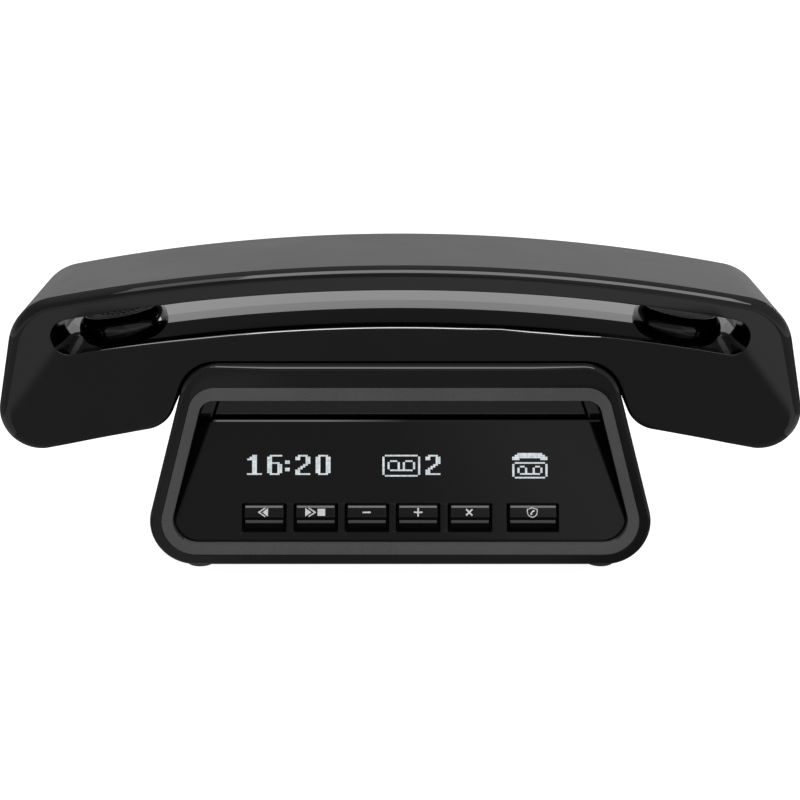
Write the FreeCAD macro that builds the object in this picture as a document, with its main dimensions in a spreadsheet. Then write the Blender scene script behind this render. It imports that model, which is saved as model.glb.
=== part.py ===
import FreeCAD, Part
import math
import os
import Sketcher

V = FreeCAD.Vector
ROT = FreeCAD.Rotation
PLC = FreeCAD.Placement

# Answering machine with a cordless arched handset lying across a trapezoid base.
# Frame: X along the handset, front towards -Y, +Z up, origin on the table under the middle.

doc = FreeCAD.newDocument("AnsweringMachine")

# ---------------------------------------------------------------- driving dimensions
DIMS = [
    # handset outline
    ("arc_centre_drop", 426.0, "depth of the common arc centre below the table"),
    ("top_radius", 514.9, "handset top arc"),
    ("lobe_radius", 474.0, "handset lobe underside arc"),
    ("slot_roof_radius", 508.5, "slot roof arc"),
    ("slot_floor_radius", 499.4, "slot floor arc"),
    ("slot_end_angle", 10.38, "angle of the slot end centres"),
    ("end_x", 110.3, "half length of the handset"),
    ("end_z", 50.4, "height of the widest point"),
    ("end_slope", 10.4, "lean of the end faces"),
    ("top_corner", 14.5, "upper end corner radius"),
    ("low_corner", 11.0, "lower end corner radius"),
    ("lobe_corner", 6.5, "inner lobe corner radius"),
    ("notch_corner", 11.0, "saddle corner radius"),
    ("notch_gap", 0.65, "gap between saddle and base"),
    ("notch_roof", 62.2, "height of the saddle roof"),
    ("handset_depth", 50.0, "front to back"),
    ("cover_thick", 3.0, "gloss side covers"),
    ("cover_round", 2.4, "edge rounding of the covers"),
    ("slot_lip", 1.6, "rounding of the slot lip"),
    ("shell_wall", 2.0, "handset shell wall"),
    ("liner_wall", 1.2, "slot liner wall"),
    # drums in the slot
    ("drum_radius", 12.7, "drum radius at the slot floor"),
    ("drum_top", 10.75, "drum radius under its top edge"),
    ("drum_rise", 4.2, "drum height over the slot floor"),
    ("drum_angle", 9.08, "angle of the drum axes"),
    ("drum_edge", 0.3, "drum top edge"),
    ("grille_radius", 10.1, "perforated disc"),
    ("grille_thick", 1.0, "perforated disc"),
    ("hole_radius", 0.42, "perforation"),
    ("hole_pitch", 1.5, "ring to ring"),
    # base outline
    ("base_depth", 54.0, "front to back"),
    ("base_floor", 3.5, "underside of the shell"),
    ("base_top", 61.5, "top of the base"),
    ("side_intercept", 74.76, "half width of the side plane at table level"),
    ("side_slope", 0.267, "side plane, half width lost per height"),
    ("base_low_corner", 13.0, "lower corner radius"),
    ("base_top_corner", 10.5, "upper corner radius"),
    ("base_wall", 2.5, "base shell wall"),
    ("base_round", 2.4, "front and back edge rounding"),
    # bezel ring and recess
    ("ring_side_out", 3.2, "outer band at the sides"),
    ("ring_side_in", 6.3, "band plus ring at the sides"),
    ("ring_top_out", 55.1, ""),
    ("ring_top_in", 51.5, ""),
    ("ring_low_out", 6.5, ""),
    ("ring_low_in", 10.4, ""),
    ("ring_corner_low_out", 9.8, ""),
    ("ring_corner_low_in", 6.7, ""),
    ("ring_corner_top_out", 7.3, ""),
    ("ring_corner_top_in", 4.2, ""),
    ("ring_thick", 2.4, ""),
    ("recess_wall", 1.5, ""),
    ("recess_back", 8.0, "front of the recess back wall, Y"),
    # display panel
    ("panel_lean", 22.5, "lean back from vertical"),
    ("panel_front", -24.5, "Y of its lower front edge"),
    ("panel_height", 34.0, "along the lean"),
    ("panel_thick", 2.0, ""),
    ("panel_gap", 0.2, "to the recess walls"),
    ("panel_round", 0.6, "top edge"),
    ("key_row", 6.55, "key centres up the panel"),
    ("key_width", 11.2, ""),
    ("key_wide", 13.4, "call guard key"),
    ("key_high", 7.1, ""),
    ("key_clear", 0.3, "key to opening"),
    ("key_proud", 1.6, "key face over the panel"),
    ("key_travel", 0.6, ""),
    ("shelf_height", 42.9, "top of the shelf"),
    ("shelf_front", -8.9, "Y"),
    ("shelf_thick", 1.5, ""),
    ("shelf_half", 52.6, "half width of the centre shelf"),
    ("shelf_gap", 1.3, "gap to the side ledges"),
    # feet, screws
    ("foot_x", 57.3, ""),
    ("foot_y", 14.5, ""),
    ("foot_radius", 4.0, ""),
    ("screw_head", 2.5, "head radius"),
    ("screw_shank", 1.25, "shank radius"),
    # charging pins
    ("pin_x", 46.0, ""),
    ("pin_y", 6.0, ""),
    ("pin_radius", 0.9, ""),
    ("pin_collar", 1.3, ""),
    ("pin_clear", 0.08, "radial running fit"),
    ("pin_proud", 0.62, "over the base top"),
    # dial pad on the underside
    ("dial_pitch_x", 11.6, ""),
    ("dial_pitch_y", 12.4, ""),
    ("dial_key_x", 8.4, ""),
    ("dial_key_y", 9.6, ""),
    ("dial_clear", 0.3, ""),
    ("dial_proud", 0.2, ""),
]
sheet = doc.addObject("Spreadsheet::Sheet", "Dims")
for n, (alias, value, note) in enumerate(DIMS, 1):
    sheet.set("A%d" % n, alias)
    sheet.set("B%d" % n, "%g" % value)
    sheet.setAlias("B%d" % n, alias)
    sheet.set("C%d" % n, note)
doc.recompute()


def dim(alias):
    return float(sheet.get(alias))


# ---------------------------------------------------------------- helpers
NODES = []


def keep(obj, label):
    obj.Label = label
    NODES.append(obj)
    return obj


def plane(body, role):
    for f in body.Origin.OriginFeatures:
        if f.Role == role:
            return f
    raise RuntimeError("no plane " + role)


def new_body(name):
    return doc.addObject("PartDesign::Body", name)


def sketch(body, name, role, lift=None, lift_expr=None):
    sk = body.newObject("Sketcher::SketchObject", name)
    sk.AttachmentSupport = [(plane(body, role), "")]
    sk.MapMode = "FlatFace"
    if lift is not None:
        sk.AttachmentOffset = PLC(V(0, 0, lift), ROT())
    if lift_expr is not None:
        sk.setExpression("AttachmentOffset.Base.z", lift_expr)
    return sk


def draw(sk, outlines):
    """Put closed outlines, each a list of segments, into a sketch."""
    for segs in outlines:
        for s in segs:
            p = [V(q[0], q[1], 0) for q in s]
            if len(p) == 2:
                sk.addGeometry(Part.LineSegment(p[0], p[1]), False)
            else:
                sk.addGeometry(Part.Arc(p[0], p[1], p[2]), False)


def circle(sk, x, y, expr):
    i = sk.addGeometry(Part.Circle(V(x, y, 0), V(0, 0, 1), 1.0), False)
    c = sk.addConstraint(Sketcher.Constraint("Radius", i, dim(expr) if expr in ALIASES else 1.0))
    sk.setExpression("Constraints[%d]" % c, "Dims." + expr)


ALIASES = {a for a, _, _ in DIMS}


def rect(sk, x0, y0, width, height, width_expr=None, height_expr=None):
    """Constrained rectangle from its lower left corner; sizes may follow the sheet."""
    a, b, c, e = V(x0, y0, 0), V(x0 + width, y0, 0), V(x0 + width, y0 + height, 0), V(x0, y0 + height, 0)
    n = sk.GeometryCount
    for p, q in ((a, b), (b, c), (c, e), (e, a)):
        sk.addGeometry(Part.LineSegment(p, q), False)
    for i in range(4):
        sk.addConstraint(Sketcher.Constraint("Coincident", n + i, 2, n + (i + 1) % 4, 1))
    sk.addConstraint(Sketcher.Constraint("Horizontal", n))
    sk.addConstraint(Sketcher.Constraint("Horizontal", n + 2))
    sk.addConstraint(Sketcher.Constraint("Vertical", n + 1))
    sk.addConstraint(Sketcher.Constraint("Vertical", n + 3))
    sk.addConstraint(Sketcher.Constraint("DistanceX", -1, 1, n, 1, x0))
    sk.addConstraint(Sketcher.Constraint("DistanceY", -1, 1, n, 1, y0))
    w = sk.addConstraint(Sketcher.Constraint("DistanceX", n, 1, n, 2, width))
    h = sk.addConstraint(Sketcher.Constraint("DistanceY", n + 1, 1, n + 1, 2, height))
    if width_expr:
        sk.setExpression("Constraints[%d]" % w, width_expr)
    if height_expr:
        sk.setExpression("Constraints[%d]" % h, height_expr)


def pad(body, sk, length=None, expr=None, mid=False, name="Pad"):
    f = body.newObject("PartDesign::Pad", name)
    f.Profile = sk
    if mid:
        f.Midplane = True
    if length is not None:
        f.Length = length
    if expr is not None:
        f.setExpression("Length", expr)
    doc.recompute()
    return f


def pocket(body, sk, length=None, expr=None, mid=False, through=False, rev=False, name="Pocket"):
    before = body.Shape.Volume
    f = body.newObject("PartDesign::Pocket", name)
    f.Profile = sk
    f.Reversed = rev
    if mid:
        f.Midplane = True
    if through:
        f.Type = "ThroughAll"
    if length is not None:
        f.Length = length
    if expr is not None:
        f.setExpression("Length", expr)
    doc.recompute()
    if not f.Shape.Volume < before - 1e-4:
        raise RuntimeError("pocket %s in %s cut nothing" % (name, body.Name))
    return f


def round_edges(body, base, edges, expr, name):
    f = body.newObject("PartDesign::Fillet", name)
    f.Base = (base, edges)
    f.setExpression("Radius", "Dims." + expr)
    doc.recompute()
    return f


def edges_where(shape, test):
    out = []
    for i, e in enumerate(shape.Edges, 1):
        if test(e):
            out.append("Edge%d" % i)
    return out


def rim_edges(shape, y, inner=False):
    """Names of the outer (or inner) edges of the flat face that lies at this Y."""
    out = []
    for f in shape.Faces:
        if not isinstance(f.Surface, Part.Plane) or abs(abs(f.Surface.Axis.y) - 1) > 1e-6:
            continue
        if abs(f.CenterOfMass.y - y) > 1e-4:
            continue
        wires = [w for w in f.Wires if not w.isSame(f.OuterWire)] if inner else [f.OuterWire]
        for w in wires:
            for e in w.Edges:
                for i, t in enumerate(shape.Edges, 1):
                    if t.isSame(e):
                        out.append("Edge%d" % i)
    return out


def box_body(name, size, exprs=(None, None, None)):
    """Plate or block made as a sketch and pad, its corner at the body's origin."""
    b = new_body(name)
    sk = sketch(b, name + "Sketch", "XY_Plane")
    rect(sk, 0, 0, size[0], size[1], exprs[0], exprs[1])
    pad(b, sk, size[2], exprs[2], name=name + "Pad")
    return b


def cylinder(name, r, h, at, axis=(0, 0, 1), r_expr=None):
    c = doc.addObject("Part::Cylinder", name)
    c.Radius = r
    c.Height = h
    if r_expr:
        c.setExpression("Radius", r_expr)
    c.Placement = PLC(V(*at), ROT(V(0, 0, 1), V(*axis)))
    return c


def block(name, lo, hi):
    b = doc.addObject("Part::Box", name)
    b.Length, b.Width, b.Height = hi[0] - lo[0], hi[1] - lo[1], hi[2] - lo[2]
    b.Placement = PLC(V(*lo), ROT())
    return b


def boolean(kind, name, base, tools):
    """Cut with, or fuse to, a list of tools."""
    if kind == "cut":
        if len(tools) > 1:
            t = doc.addObject("Part::MultiFuse", name + "Tools")
            t.Shapes = tools
        else:
            t = tools[0]
        f = doc.addObject("Part::Cut", name)
        f.Base, f.Tool = base, t
    else:
        f = doc.addObject("Part::MultiFuse", name)
        f.Shapes = [base] + list(tools)
    doc.recompute()
    return f


def solid_feature(name, shape):
    f = doc.addObject("Part::Feature", name)
    f.Shape = shape
    return f


# ---------------------------------------------------------------- outlines (X, Z)
ZC = -dim("arc_centre_drop")


def arc_mid(c, r, a, b):
    """Middle of the shorter arc from a to b round c."""
    mx, mz = (a[0] + b[0]) / 2 - c[0], (a[1] + b[1]) / 2 - c[1]
    k = r / math.hypot(mx, mz)
    return (c[0] + mx * k, c[1] + mz * k)


def on_line_circle(p, u, rad):
    """Point of the line p + k*u on the circle of radius rad round the arc centre, upper one."""
    px, pz = p[0], p[1] - ZC
    b = px * u[0] + pz * u[1]
    c = px * px + pz * pz - rad * rad
    k = -b + math.sqrt(b * b - c)
    return (p[0] + k * u[0], p[1] + k * u[1])


def handset_marks(w):
    """Tangent points of the right half of the handset outline, set in by w."""
    sl = math.radians(dim("end_slope"))
    n = (math.cos(sl), math.sin(sl))            # outward normal of the end face
    u = (-math.sin(sl), math.cos(sl))           # up the end face
    pe = (dim("end_x") - w * n[0], dim("end_z") - w * n[1])
    rt, rl = dim("top_radius") - w, dim("lobe_radius") + w
    r1, r2 = dim("top_corner") - w, dim("low_corner") - w
    r3, r4 = dim("lobe_corner") - w, dim("notch_corner") + w
    m = {"rt": rt, "rl": rl, "r1": r1, "r2": r2, "r3": r3, "r4": r4}
    # upper end corner
    c1 = on_line_circle((pe[0] - r1 * n[0], pe[1] - r1 * n[1]), u, rt - r1)
    k = rt / (rt - r1)
    m["c1"] = c1
    m["top"] = (c1[0] * k, ZC + (c1[1] - ZC) * k)
    m["end_hi"] = (c1[0] + r1 * n[0], c1[1] + r1 * n[1])
    # lower end corner
    c2 = on_line_circle((pe[0] - r2 * n[0], pe[1] - r2 * n[1]), u, rl + r2)
    k = rl / (rl + r2)
    m["c2"] = c2
    m["end_lo"] = (c2[0] + r2 * n[0], c2[1] + r2 * n[1])
    m["low"] = (c2[0], c2[1] - r2)
    m["lobe_out"] = (c2[0] * k, ZC + (c2[1] - ZC) * k)
    # saddle side line: x = b0 - s z, moved out by the gap and by w
    s = dim("side_slope")
    q = math.hypot(1, s)
    b0 = dim("side_intercept") + (dim("notch_gap") + w) * q
    nn = (1 / q, s / q)                          # normal away from the base
    us = (-s / q, 1 / q)
    # inner lobe corner, centre outside the line
    p3 = (b0 + r3 * q, 0.0)
    c3 = on_line_circle(p3, us, rl + r3)
    k = rl / (rl + r3)
    m["c3"] = c3
    m["lobe_in"] = (c3[0] * k, ZC + (c3[1] - ZC) * k)
    m["side_lo"] = (c3[0] - r3 * nn[0], c3[1] - r3 * nn[1])
    # saddle roof corner, centre inside the saddle
    zr = dim("notch_roof") + w
    zc4 = zr - r4
    c4 = (b0 - s * zc4 - r4 * q, zc4)
    m["c4"] = c4
    m["side_hi"] = (c4[0] + r4 * nn[0], c4[1] + r4 * nn[1])
    m["roof"] = (c4[0], zr)
    return m


def mir(p):
    return (-p[0], p[1])


def lower_run(m, left_to_right=True):
    """Segments along the underside from the left lowest point to the right one."""
    L = [
        (mir(m["low"]), mir(arc_mid(m["c2"], m["r2"], m["low"], m["lobe_out"])), mir(m["lobe_out"])),
        (mir(m["lobe_out"]), mir(arc_mid((0, ZC), m["rl"], m["lobe_out"], m["lobe_in"])), mir(m["lobe_in"])),
        (mir(m["lobe_in"]), mir(arc_mid(m["c3"], m["r3"], m["lobe_in"], m["side_lo"])), mir(m["side_lo"])),
        (mir(m["side_lo"]), mir(m["side_hi"])),
        (mir(m["side_hi"]), mir(arc_mid(m["c4"], m["r4"], m["side_hi"], m["roof"])), mir(m["roof"])),
        (mir(m["roof"]), m["roof"]),
        (m["roof"], arc_mid(m["c4"], m["r4"], m["side_hi"], m["roof"]), m["side_hi"]),
        (m["side_hi"], m["side_lo"]),
        (m["side_lo"], arc_mid(m["c3"], m["r3"], m["lobe_in"], m["side_lo"]), m["lobe_in"]),
        (m["lobe_in"], arc_mid((0, ZC), m["rl"], m["lobe_out"], m["lobe_in"]), m["lobe_out"]),
        (m["lobe_out"], arc_mid(m["c2"], m["r2"], m["low"], m["lobe_out"]), m["low"]),
    ]
    return L


def upper_run(m):
    """Segments from the right lowest point round the ends and the top to the left one."""
    return [
        (m["low"], arc_mid(m["c2"], m["r2"], m["low"], m["end_lo"]), m["end_lo"]),
        (m["end_lo"], m["end_hi"]),
        (m["end_hi"], arc_mid(m["c1"], m["r1"], m["end_hi"], m["top"]), m["top"]),
        (m["top"], (0.0, ZC + m["rt"]), mir(m["top"])),
        (mir(m["top"]), mir(arc_mid(m["c1"], m["r1"], m["end_hi"], m["top"])), mir(m["end_hi"])),
        (mir(m["end_hi"]), mir(m["end_lo"])),
        (mir(m["end_lo"]), mir(arc_mid(m["c2"], m["r2"], m["low"], m["end_lo"])), mir(m["low"])),
    ]


def back_run(segs):
    return [tuple(reversed(s)) for s in reversed(segs)]


def slot_outline(g):
    """Slot outline grown by g."""
    a = math.radians(dim("slot_end_angle"))
    ro, ri = dim("slot_roof_radius") + g, dim("slot_floor_radius") - g
    rm, re = (ro + ri) / 2, (ro - ri) / 2
    u = (math.sin(a), math.cos(a))
    t = (math.cos(a), -math.sin(a))
    c = (rm * u[0], ZC + rm * u[1])
    hi = (ro * u[0], ZC + ro * u[1])
    lo = (ri * u[0], ZC + ri * u[1])
    tip = (c[0] + re * t[0], c[1] + re * t[1])
    return [
        (mir(hi), (0.0, ZC + ro), hi),
        (hi, tip, lo),
        (lo, (0.0, ZC + ri), mir(lo)),
        (mir(lo), mir(tip), mir(hi)),
    ]


def trapezoid(side_in, low, top, r_low, r_top, grow=0.0):
    """Rounded trapezoid with its sides set in by side_in from the base's side planes."""
    s = dim("side_slope")
    q = math.hypot(1, s)
    b0 = dim("side_intercept") - (side_in - grow) * q
    low, top, r_low, r_top = low - grow, top + grow, r_low + grow, r_top + grow
    n = (1 / q, s / q)
    cl = (b0 - s * (low + r_low) - r_low * q, low + r_low)
    ct = (b0 - s * (top - r_top) - r_top * q, top - r_top)
    a = (cl[0], low)
    b = (cl[0] + r_low * n[0], cl[1] + r_low * n[1])
    c = (ct[0] + r_top * n[0], ct[1] + r_top * n[1])
    e = (ct[0], top)
    return [
        (mir(a), a),
        (a, arc_mid(cl, r_low, a, b), b),
        (b, c),
        (c, arc_mid(ct, r_top, c, e), e),
        (e, mir(e)),
        (mir(e), mir(arc_mid(ct, r_top, c, e)), mir(c)),
        (mir(c), mir(b)),
        (mir(b), mir(arc_mid(cl, r_low, a, b)), mir(a)),
    ]


def base_outline(w):
    return trapezoid(w, dim("base_floor") + w, dim("base_top") - w, dim("base_low_corner") - w,
                     dim("base_top_corner") - w)


def ring_out(g=0.0):
    return trapezoid(dim("ring_side_out"), dim("ring_low_out"), dim("ring_top_out"),
                     dim("ring_corner_low_out"), dim("ring_corner_top_out"), g)


def ring_in(g=0.0):
    return trapezoid(dim("ring_side_in"), dim("ring_low_in"), dim("ring_top_in"),
                     dim("ring_corner_low_in"), dim("ring_corner_top_in"), g)


M0 = handset_marks(0.0)
M2 = handset_marks(dim("shell_wall"))
HALF = dim("handset_depth") / 2
INNER = HALF - dim("cover_thick")
FRONT = -dim("base_depth") / 2

# ---------------------------------------------------------------- handset shells
def cover(name, front):
    """Gloss side cover with a rounded rim and a rounded slot lip."""
    b = new_body(name)
    if front:
        sk = sketch(b, name + "Sketch", "XZ_Plane",
                    lift_expr="Dims.handset_depth / 2 - Dims.cover_thick")
    else:
        sk = sketch(b, name + "Sketch", "XZ_Plane", lift_expr="-Dims.handset_depth / 2")
    draw(sk, [lower_run(M0) + upper_run(M0), slot_outline(0.0)])
    p = pad(b, sk, expr="Dims.cover_thick", name=name + "Pad")
    yf = -HALF if front else HALF

    f1 = round_edges(b, p, rim_edges(p.Shape, yf), "cover_round", name + "Rim")
    round_edges(b, f1, rim_edges(f1.Shape, yf, True), "slot_lip", name + "Lip")
    return b


keep(cover("FrontCover", True), "handset_front_cover")
keep(cover("RearCover", False), "handset_rear_cover")

# satin band round the top and the ends
band = new_body("TopBand")
sk = sketch(band, "TopBandSketch", "XZ_Plane")
draw(sk, [upper_run(M0) + [(mir(M0["low"]), mir(M2["low"]))] + back_run(upper_run(M2)) +
          [(M2["low"], M0["low"])]])
pad(band, sk, expr="Dims.handset_depth - 2 * Dims.cover_thick", mid=True, name="TopBandPad")
keep(band, "handset_top_band")

# slot liner, the glossy tunnel between the covers, with seats for the drums
liner = new_body("SlotTunnel")
sk = sketch(liner, "SlotTunnelSketch", "XZ_Plane")
draw(sk, [slot_outline(dim("liner_wall")), slot_outline(0.0)])
pad(liner, sk, expr="Dims.handset_depth - 2 * Dims.cover_thick", mid=True, name="SlotTunnelPad")


def radial(angle, radius, y=0.0):
    """Placement whose +Z points away from the arc centre."""
    a = math.radians(angle)
    return PLC(V(radius * math.sin(a), y, ZC + radius * math.cos(a)), ROT(V(0, 1, 0), angle))


seats = []
for side, name in ((-1, "DrumSeatLeft"), (1, "DrumSeatRight")):
    c = doc.addObject("Part::Cylinder", name)
    c.setExpression("Radius", "Dims.drum_radius")
    c.Height = 6.0
    c.Placement = radial(side * dim("drum_angle"), dim("slot_floor_radius") - 5.0)
    seats.append(c)
keep(boolean("cut", "SlotLiner", liner, seats), "slot_liner")


# drums: a cup standing through the slot floor, its top closed by a disc
def drum(name, side):
    b = new_body(name)
    sk = sketch(b, name + "Sketch", "XZ_Plane")
    r, rt, c, rise = dim("drum_radius"), dim("drum_top"), dim("drum_edge"), dim("drum_rise")
    g, t = dim("grille_radius"), dim("grille_thick")
    low = -dim("liner_wall") - 1.0
    pts = [(0, low), (r, low), (r, 0), (rt, rise - c), (rt - c, rise), (g, rise), (g, rise - t), (g - 1.2, rise - t),
           (g - 1.2, low + 1.2), (0, low + 1.2)]
    draw(sk, [[(pts[i], pts[(i + 1) % len(pts)]) for i in range(len(pts))]])
    f = b.newObject("PartDesign::Revolution", name + "Turn")
    f.Profile = sk
    f.ReferenceAxis = (sk, ["V_Axis"])
    f.Angle = 360
    doc.recompute()
    b.Placement = radial(side * dim("drum_angle"), dim("slot_floor_radius"))
    return b


keep(drum("SpeakerDrum", -1), "speaker_drum")
keep(drum("MicDrum", 1), "mic_drum")

# perforated disc on the speaker drum
grille = new_body("SpeakerGrille")
sk = sketch(grille, "GrilleSketch", "XY_Plane")
circle(sk, 0, 0, "grille_radius")
pad(grille, sk, expr="Dims.grille_thick", name="GrillePad")
for k, n in enumerate((6, 12, 18, 24), 1):
    sk = sketch(grille, "GrilleHole%d" % k, "XY_Plane")
    circle(sk, dim("hole_pitch") * k, 0, "hole_radius")
    p = pocket(grille, sk, length=3.0, mid=True, name="GrillePocket%d" % k)
    pat = grille.newObject("PartDesign::PolarPattern", "GrilleRing%d" % k)
    pat.Originals = [p]
    pat.Axis = (sk, ["N_Axis"])
    pat.Angle = 360
    pat.Occurrences = n
    grille.Tip = pat
    doc.recompute()
grille.Placement = radial(-dim("drum_angle"), dim("slot_floor_radius") + dim("drum_rise") - dim("grille_thick"))
keep(grille, "speaker_grille")

cap = new_body("MicDrumCap")
sk = sketch(cap, "MicCapSketch", "XY_Plane")
circle(sk, 0, 0, "grille_radius")
pad(cap, sk, expr="Dims.grille_thick", name="MicCapPad")
cap.Placement = radial(dim("drum_angle"), dim("slot_floor_radius") + dim("drum_rise") - dim("grille_thick"))
keep(cap, "mic_drum_cap")

# loud ringer capsule inside the speaker drum
ringer = cylinder("Ringer", 8.0, 2.6, (0, 0, 0))
ringer.Placement = radial(-dim("drum_angle"), dim("slot_floor_radius") - 0.9)
keep(ringer, "ringer_capsule")

# ---------------------------------------------------------------- underside housing with the dial pad
house = new_body("KeypadShell")
sk = sketch(house, "KeypadShellSketch", "XZ_Plane")
draw(sk, [lower_run(M0) + [(M0["low"], M2["low"])] + back_run(lower_run(M2)) +
          [(mir(M2["low"]), mir(M0["low"]))]])
pad(house, sk, expr="Dims.handset_depth - 2 * Dims.cover_thick", mid=True, name="KeypadShellPad")

ROOF, WALL = dim("notch_roof"), dim("shell_wall")
PX, PY = dim("dial_pitch_x"), dim("dial_pitch_y")
dial = []
for i, name in enumerate(("1", "2", "3", "4", "5", "6", "7", "8", "9", "star", "0", "hash")):
    row, col = divmod(i, 3)
    dial.append(("dial_key_" + name, 1.2 + row * PX, (1 - col) * PY))
for name, col in (("talk_key", 0), ("menu_key", 1), ("end_key", 2)):
    dial.append((name, 1.2 - PX - 1.4, (1 - col) * PY))
kx, ky, kc = dim("dial_key_x"), dim("dial_key_y"), dim("dial_clear")

openings = []
for name, x, y in dial:
    openings.append(block("Open_" + name, (x - kx / 2 - kc, y - ky / 2 - kc, ROOF - 1),
                          (x + kx / 2 + kc, y + ky / 2 + kc, ROOF + WALL + 1)))
# display window, charging pads, ear holes, mouthpiece hole, battery hatch
LCD = (-47.0, -19.5, 15.5)
openings.append(block("OpenWindow", (LCD[0], -LCD[2], ROOF - 1), (LCD[1], LCD[2], ROOF + WALL + 1)))
px, py = dim("pin_x"), dim("pin_y")
for s in (-1, 1):
    openings.append(block("OpenPad%s" % ("L" if s < 0 else "R"), (px - 2.0, s * py - 2.0, ROOF - 1),
                          (px + 2.0, s * py + 2.0, ROOF + WALL + 1)))
for k, (du, dv) in enumerate([(0, 0)] + [(3.2 * math.cos(math.radians(60 * j)), 3.2 * math.sin(math.radians(60 * j)))
                                       for j in range(6)]):
    c = cylinder("EarHole%d" % k, 0.8, 6.0, (0, 0, 0))
    p = radial(-10.3, dim("lobe_radius") - 2.0)
    c.Placement = p.multiply(PLC(V(du, dv, 0), ROT()))
    openings.append(c)
c = cylinder("MouthHole", 0.8, 6.0, (0, 0, 0))
c.Placement = radial(8.7, dim("lobe_radius") - 2.0, 0.0)
openings.append(c)
HATCH = (18.0, 34.0)
c = doc.addObject("Part::Box", "HatchOpening")
c.Length, c.Width, c.Height = HATCH[0], HATCH[1], 8.0
c.Placement = radial(10.9, dim("lobe_radius") - 3.0).multiply(PLC(V(-HATCH[0] / 2, -HATCH[1] / 2, 0), ROT()))
openings.append(c)
keep(boolean("cut", "KeypadHousing", house, openings), "keypad_housing")

# battery hatch, a curved plate filling its opening
hatch_blank = new_body("HatchBlank")
sk = sketch(hatch_blank, "HatchSketch", "XZ_Plane")
draw(sk, [lower_run(M0) + [(M0["low"], M2["low"])] + back_run(lower_run(M2)) +
          [(mir(M2["low"]), mir(M0["low"]))]])
pad(hatch_blank, sk, length=HATCH[1] - 0.3, mid=True, name="HatchPad")
hb = doc.addObject("Part::Box", "HatchSize")
hb.Length, hb.Width, hb.Height = HATCH[0] - 0.3, HATCH[1] + 2, 8.0
hb.Placement = radial(10.9, dim("lobe_radius") - 3.0).multiply(
    PLC(V(-(HATCH[0] - 0.3) / 2, -(HATCH[1] + 2) / 2, 0), ROT()))
door = doc.addObject("Part::Common", "BatteryDoor")
door.Base, door.Tool = hatch_blank, hb
doc.recompute()
keep(door, "battery_door")

# battery pack above its hatch, in the right lobe
pack = box_body("BatteryPack", (21.0, 36.0, 6.0))
pack.Placement = radial(10.9, dim("lobe_radius") + WALL + 0.4).multiply(PLC(V(-10.5, -18.0, 0), ROT()))
keep(pack, "battery_pack")

# earpiece receiver over the ear holes, microphone over the mouth hole
ear = cylinder("Receiver", 10.0, 5.0, (0, 0, 0))
ear.Placement = radial(-10.3, dim("lobe_radius") + WALL + 0.35)
keep(ear, "earpiece_receiver")
mic = cylinder("Microphone", 1.6, 2.0, (0, 0, 0))
mic.Placement = radial(8.7, dim("lobe_radius") + WALL + 0.2, 0.0)
keep(mic, "microphone")

# main board of the handset, above the keys
hb_z = ROOF + WALL + 2.6
board = box_body("HandsetBoard", (98.0, 40.0, 1.0))
board.Placement = PLC(V(-49.0, -20.0, hb_z), ROT())
keep(board, "handset_board")
lcd = box_body("HandsetLcd", (26.0, 29.6, 2.2))
lcd.Placement = PLC(V(LCD[0] + 0.75, -14.8, hb_z - 2.2), ROT())
keep(lcd, "handset_lcd")
window = box_body("HandsetWindow", (LCD[1] - LCD[0] - 0.2, 2 * LCD[2] - 0.2, 1.2))
window.Placement = PLC(V(LCD[0] + 0.1, -LCD[2] + 0.1, ROOF + 0.3), ROT())
keep(window, "handset_window")
dome_shapes = []
for name, x, y in dial:
    dome_shapes.append(Part.makeCylinder(2.2, 0.6, V(x, y, hb_z - 0.6)))
keep(solid_feature("KeyDomes", Part.makeCompound(dome_shapes)), "key_domes")

# charging pads set into the saddle roof
pads = []
for s in (-1, 1):
    pads.append(Part.makeBox(4.0, 4.0, 1.6, V(px - 2.0, s * py - 2.0, ROOF)))
keep(solid_feature("ChargePads", Part.makeCompound(pads)), "charge_pads")

# dial and function keys: cap through the wall, flange behind it
for name, x, y in dial:
    b = new_body("K_" + name)
    sk = sketch(b, name + "Cap", "XY_Plane")
    rect(sk, -kx / 2, -ky / 2, kx, ky, "Dims.dial_key_x", "Dims.dial_key_y")
    cap_pad = pad(b, sk, length=dim("dial_proud") + WALL + 0.9, name=name + "CapPad")
    sk = sketch(b, name + "Flange", "XY_Plane", lift=dim("dial_proud") + WALL + 0.1)
    rect(sk, -kx / 2 - 0.8, -ky / 2 - 0.8, kx + 1.6, ky + 1.6)
    fl = pad(b, sk, length=0.8, name=name + "FlangePad")
    low_edges = edges_where(fl.Shape, lambda e: abs(e.CenterOfMass.z) < 1e-5)
    f = b.newObject("PartDesign::Fillet", name + "Round")
    f.Base = (fl, low_edges)
    f.Radius = 0.5
    doc.recompute()
    b.Placement = PLC(V(x, y, ROOF - dim("dial_proud")), ROT())
    keep(b, name)

# four screws that hold the covers to the housing, sunk in the lobes
def screw_shape(head_r, head_h, shank_r, shank_l):
    s = Part.makeCylinder(head_r, head_h).fuse(Part.makeCylinder(shank_r, shank_l, V(0, 0, 0), V(0, 0, -1)))
    cross = Part.makeBox(2.6, 0.6, 1.0, V(-1.3, -0.3, head_h - 0.7)).fuse(
        Part.makeBox(0.6, 2.6, 1.0, V(-0.3, -1.3, head_h - 0.7)))
    return s.cut(cross).removeSplitter()


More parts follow.
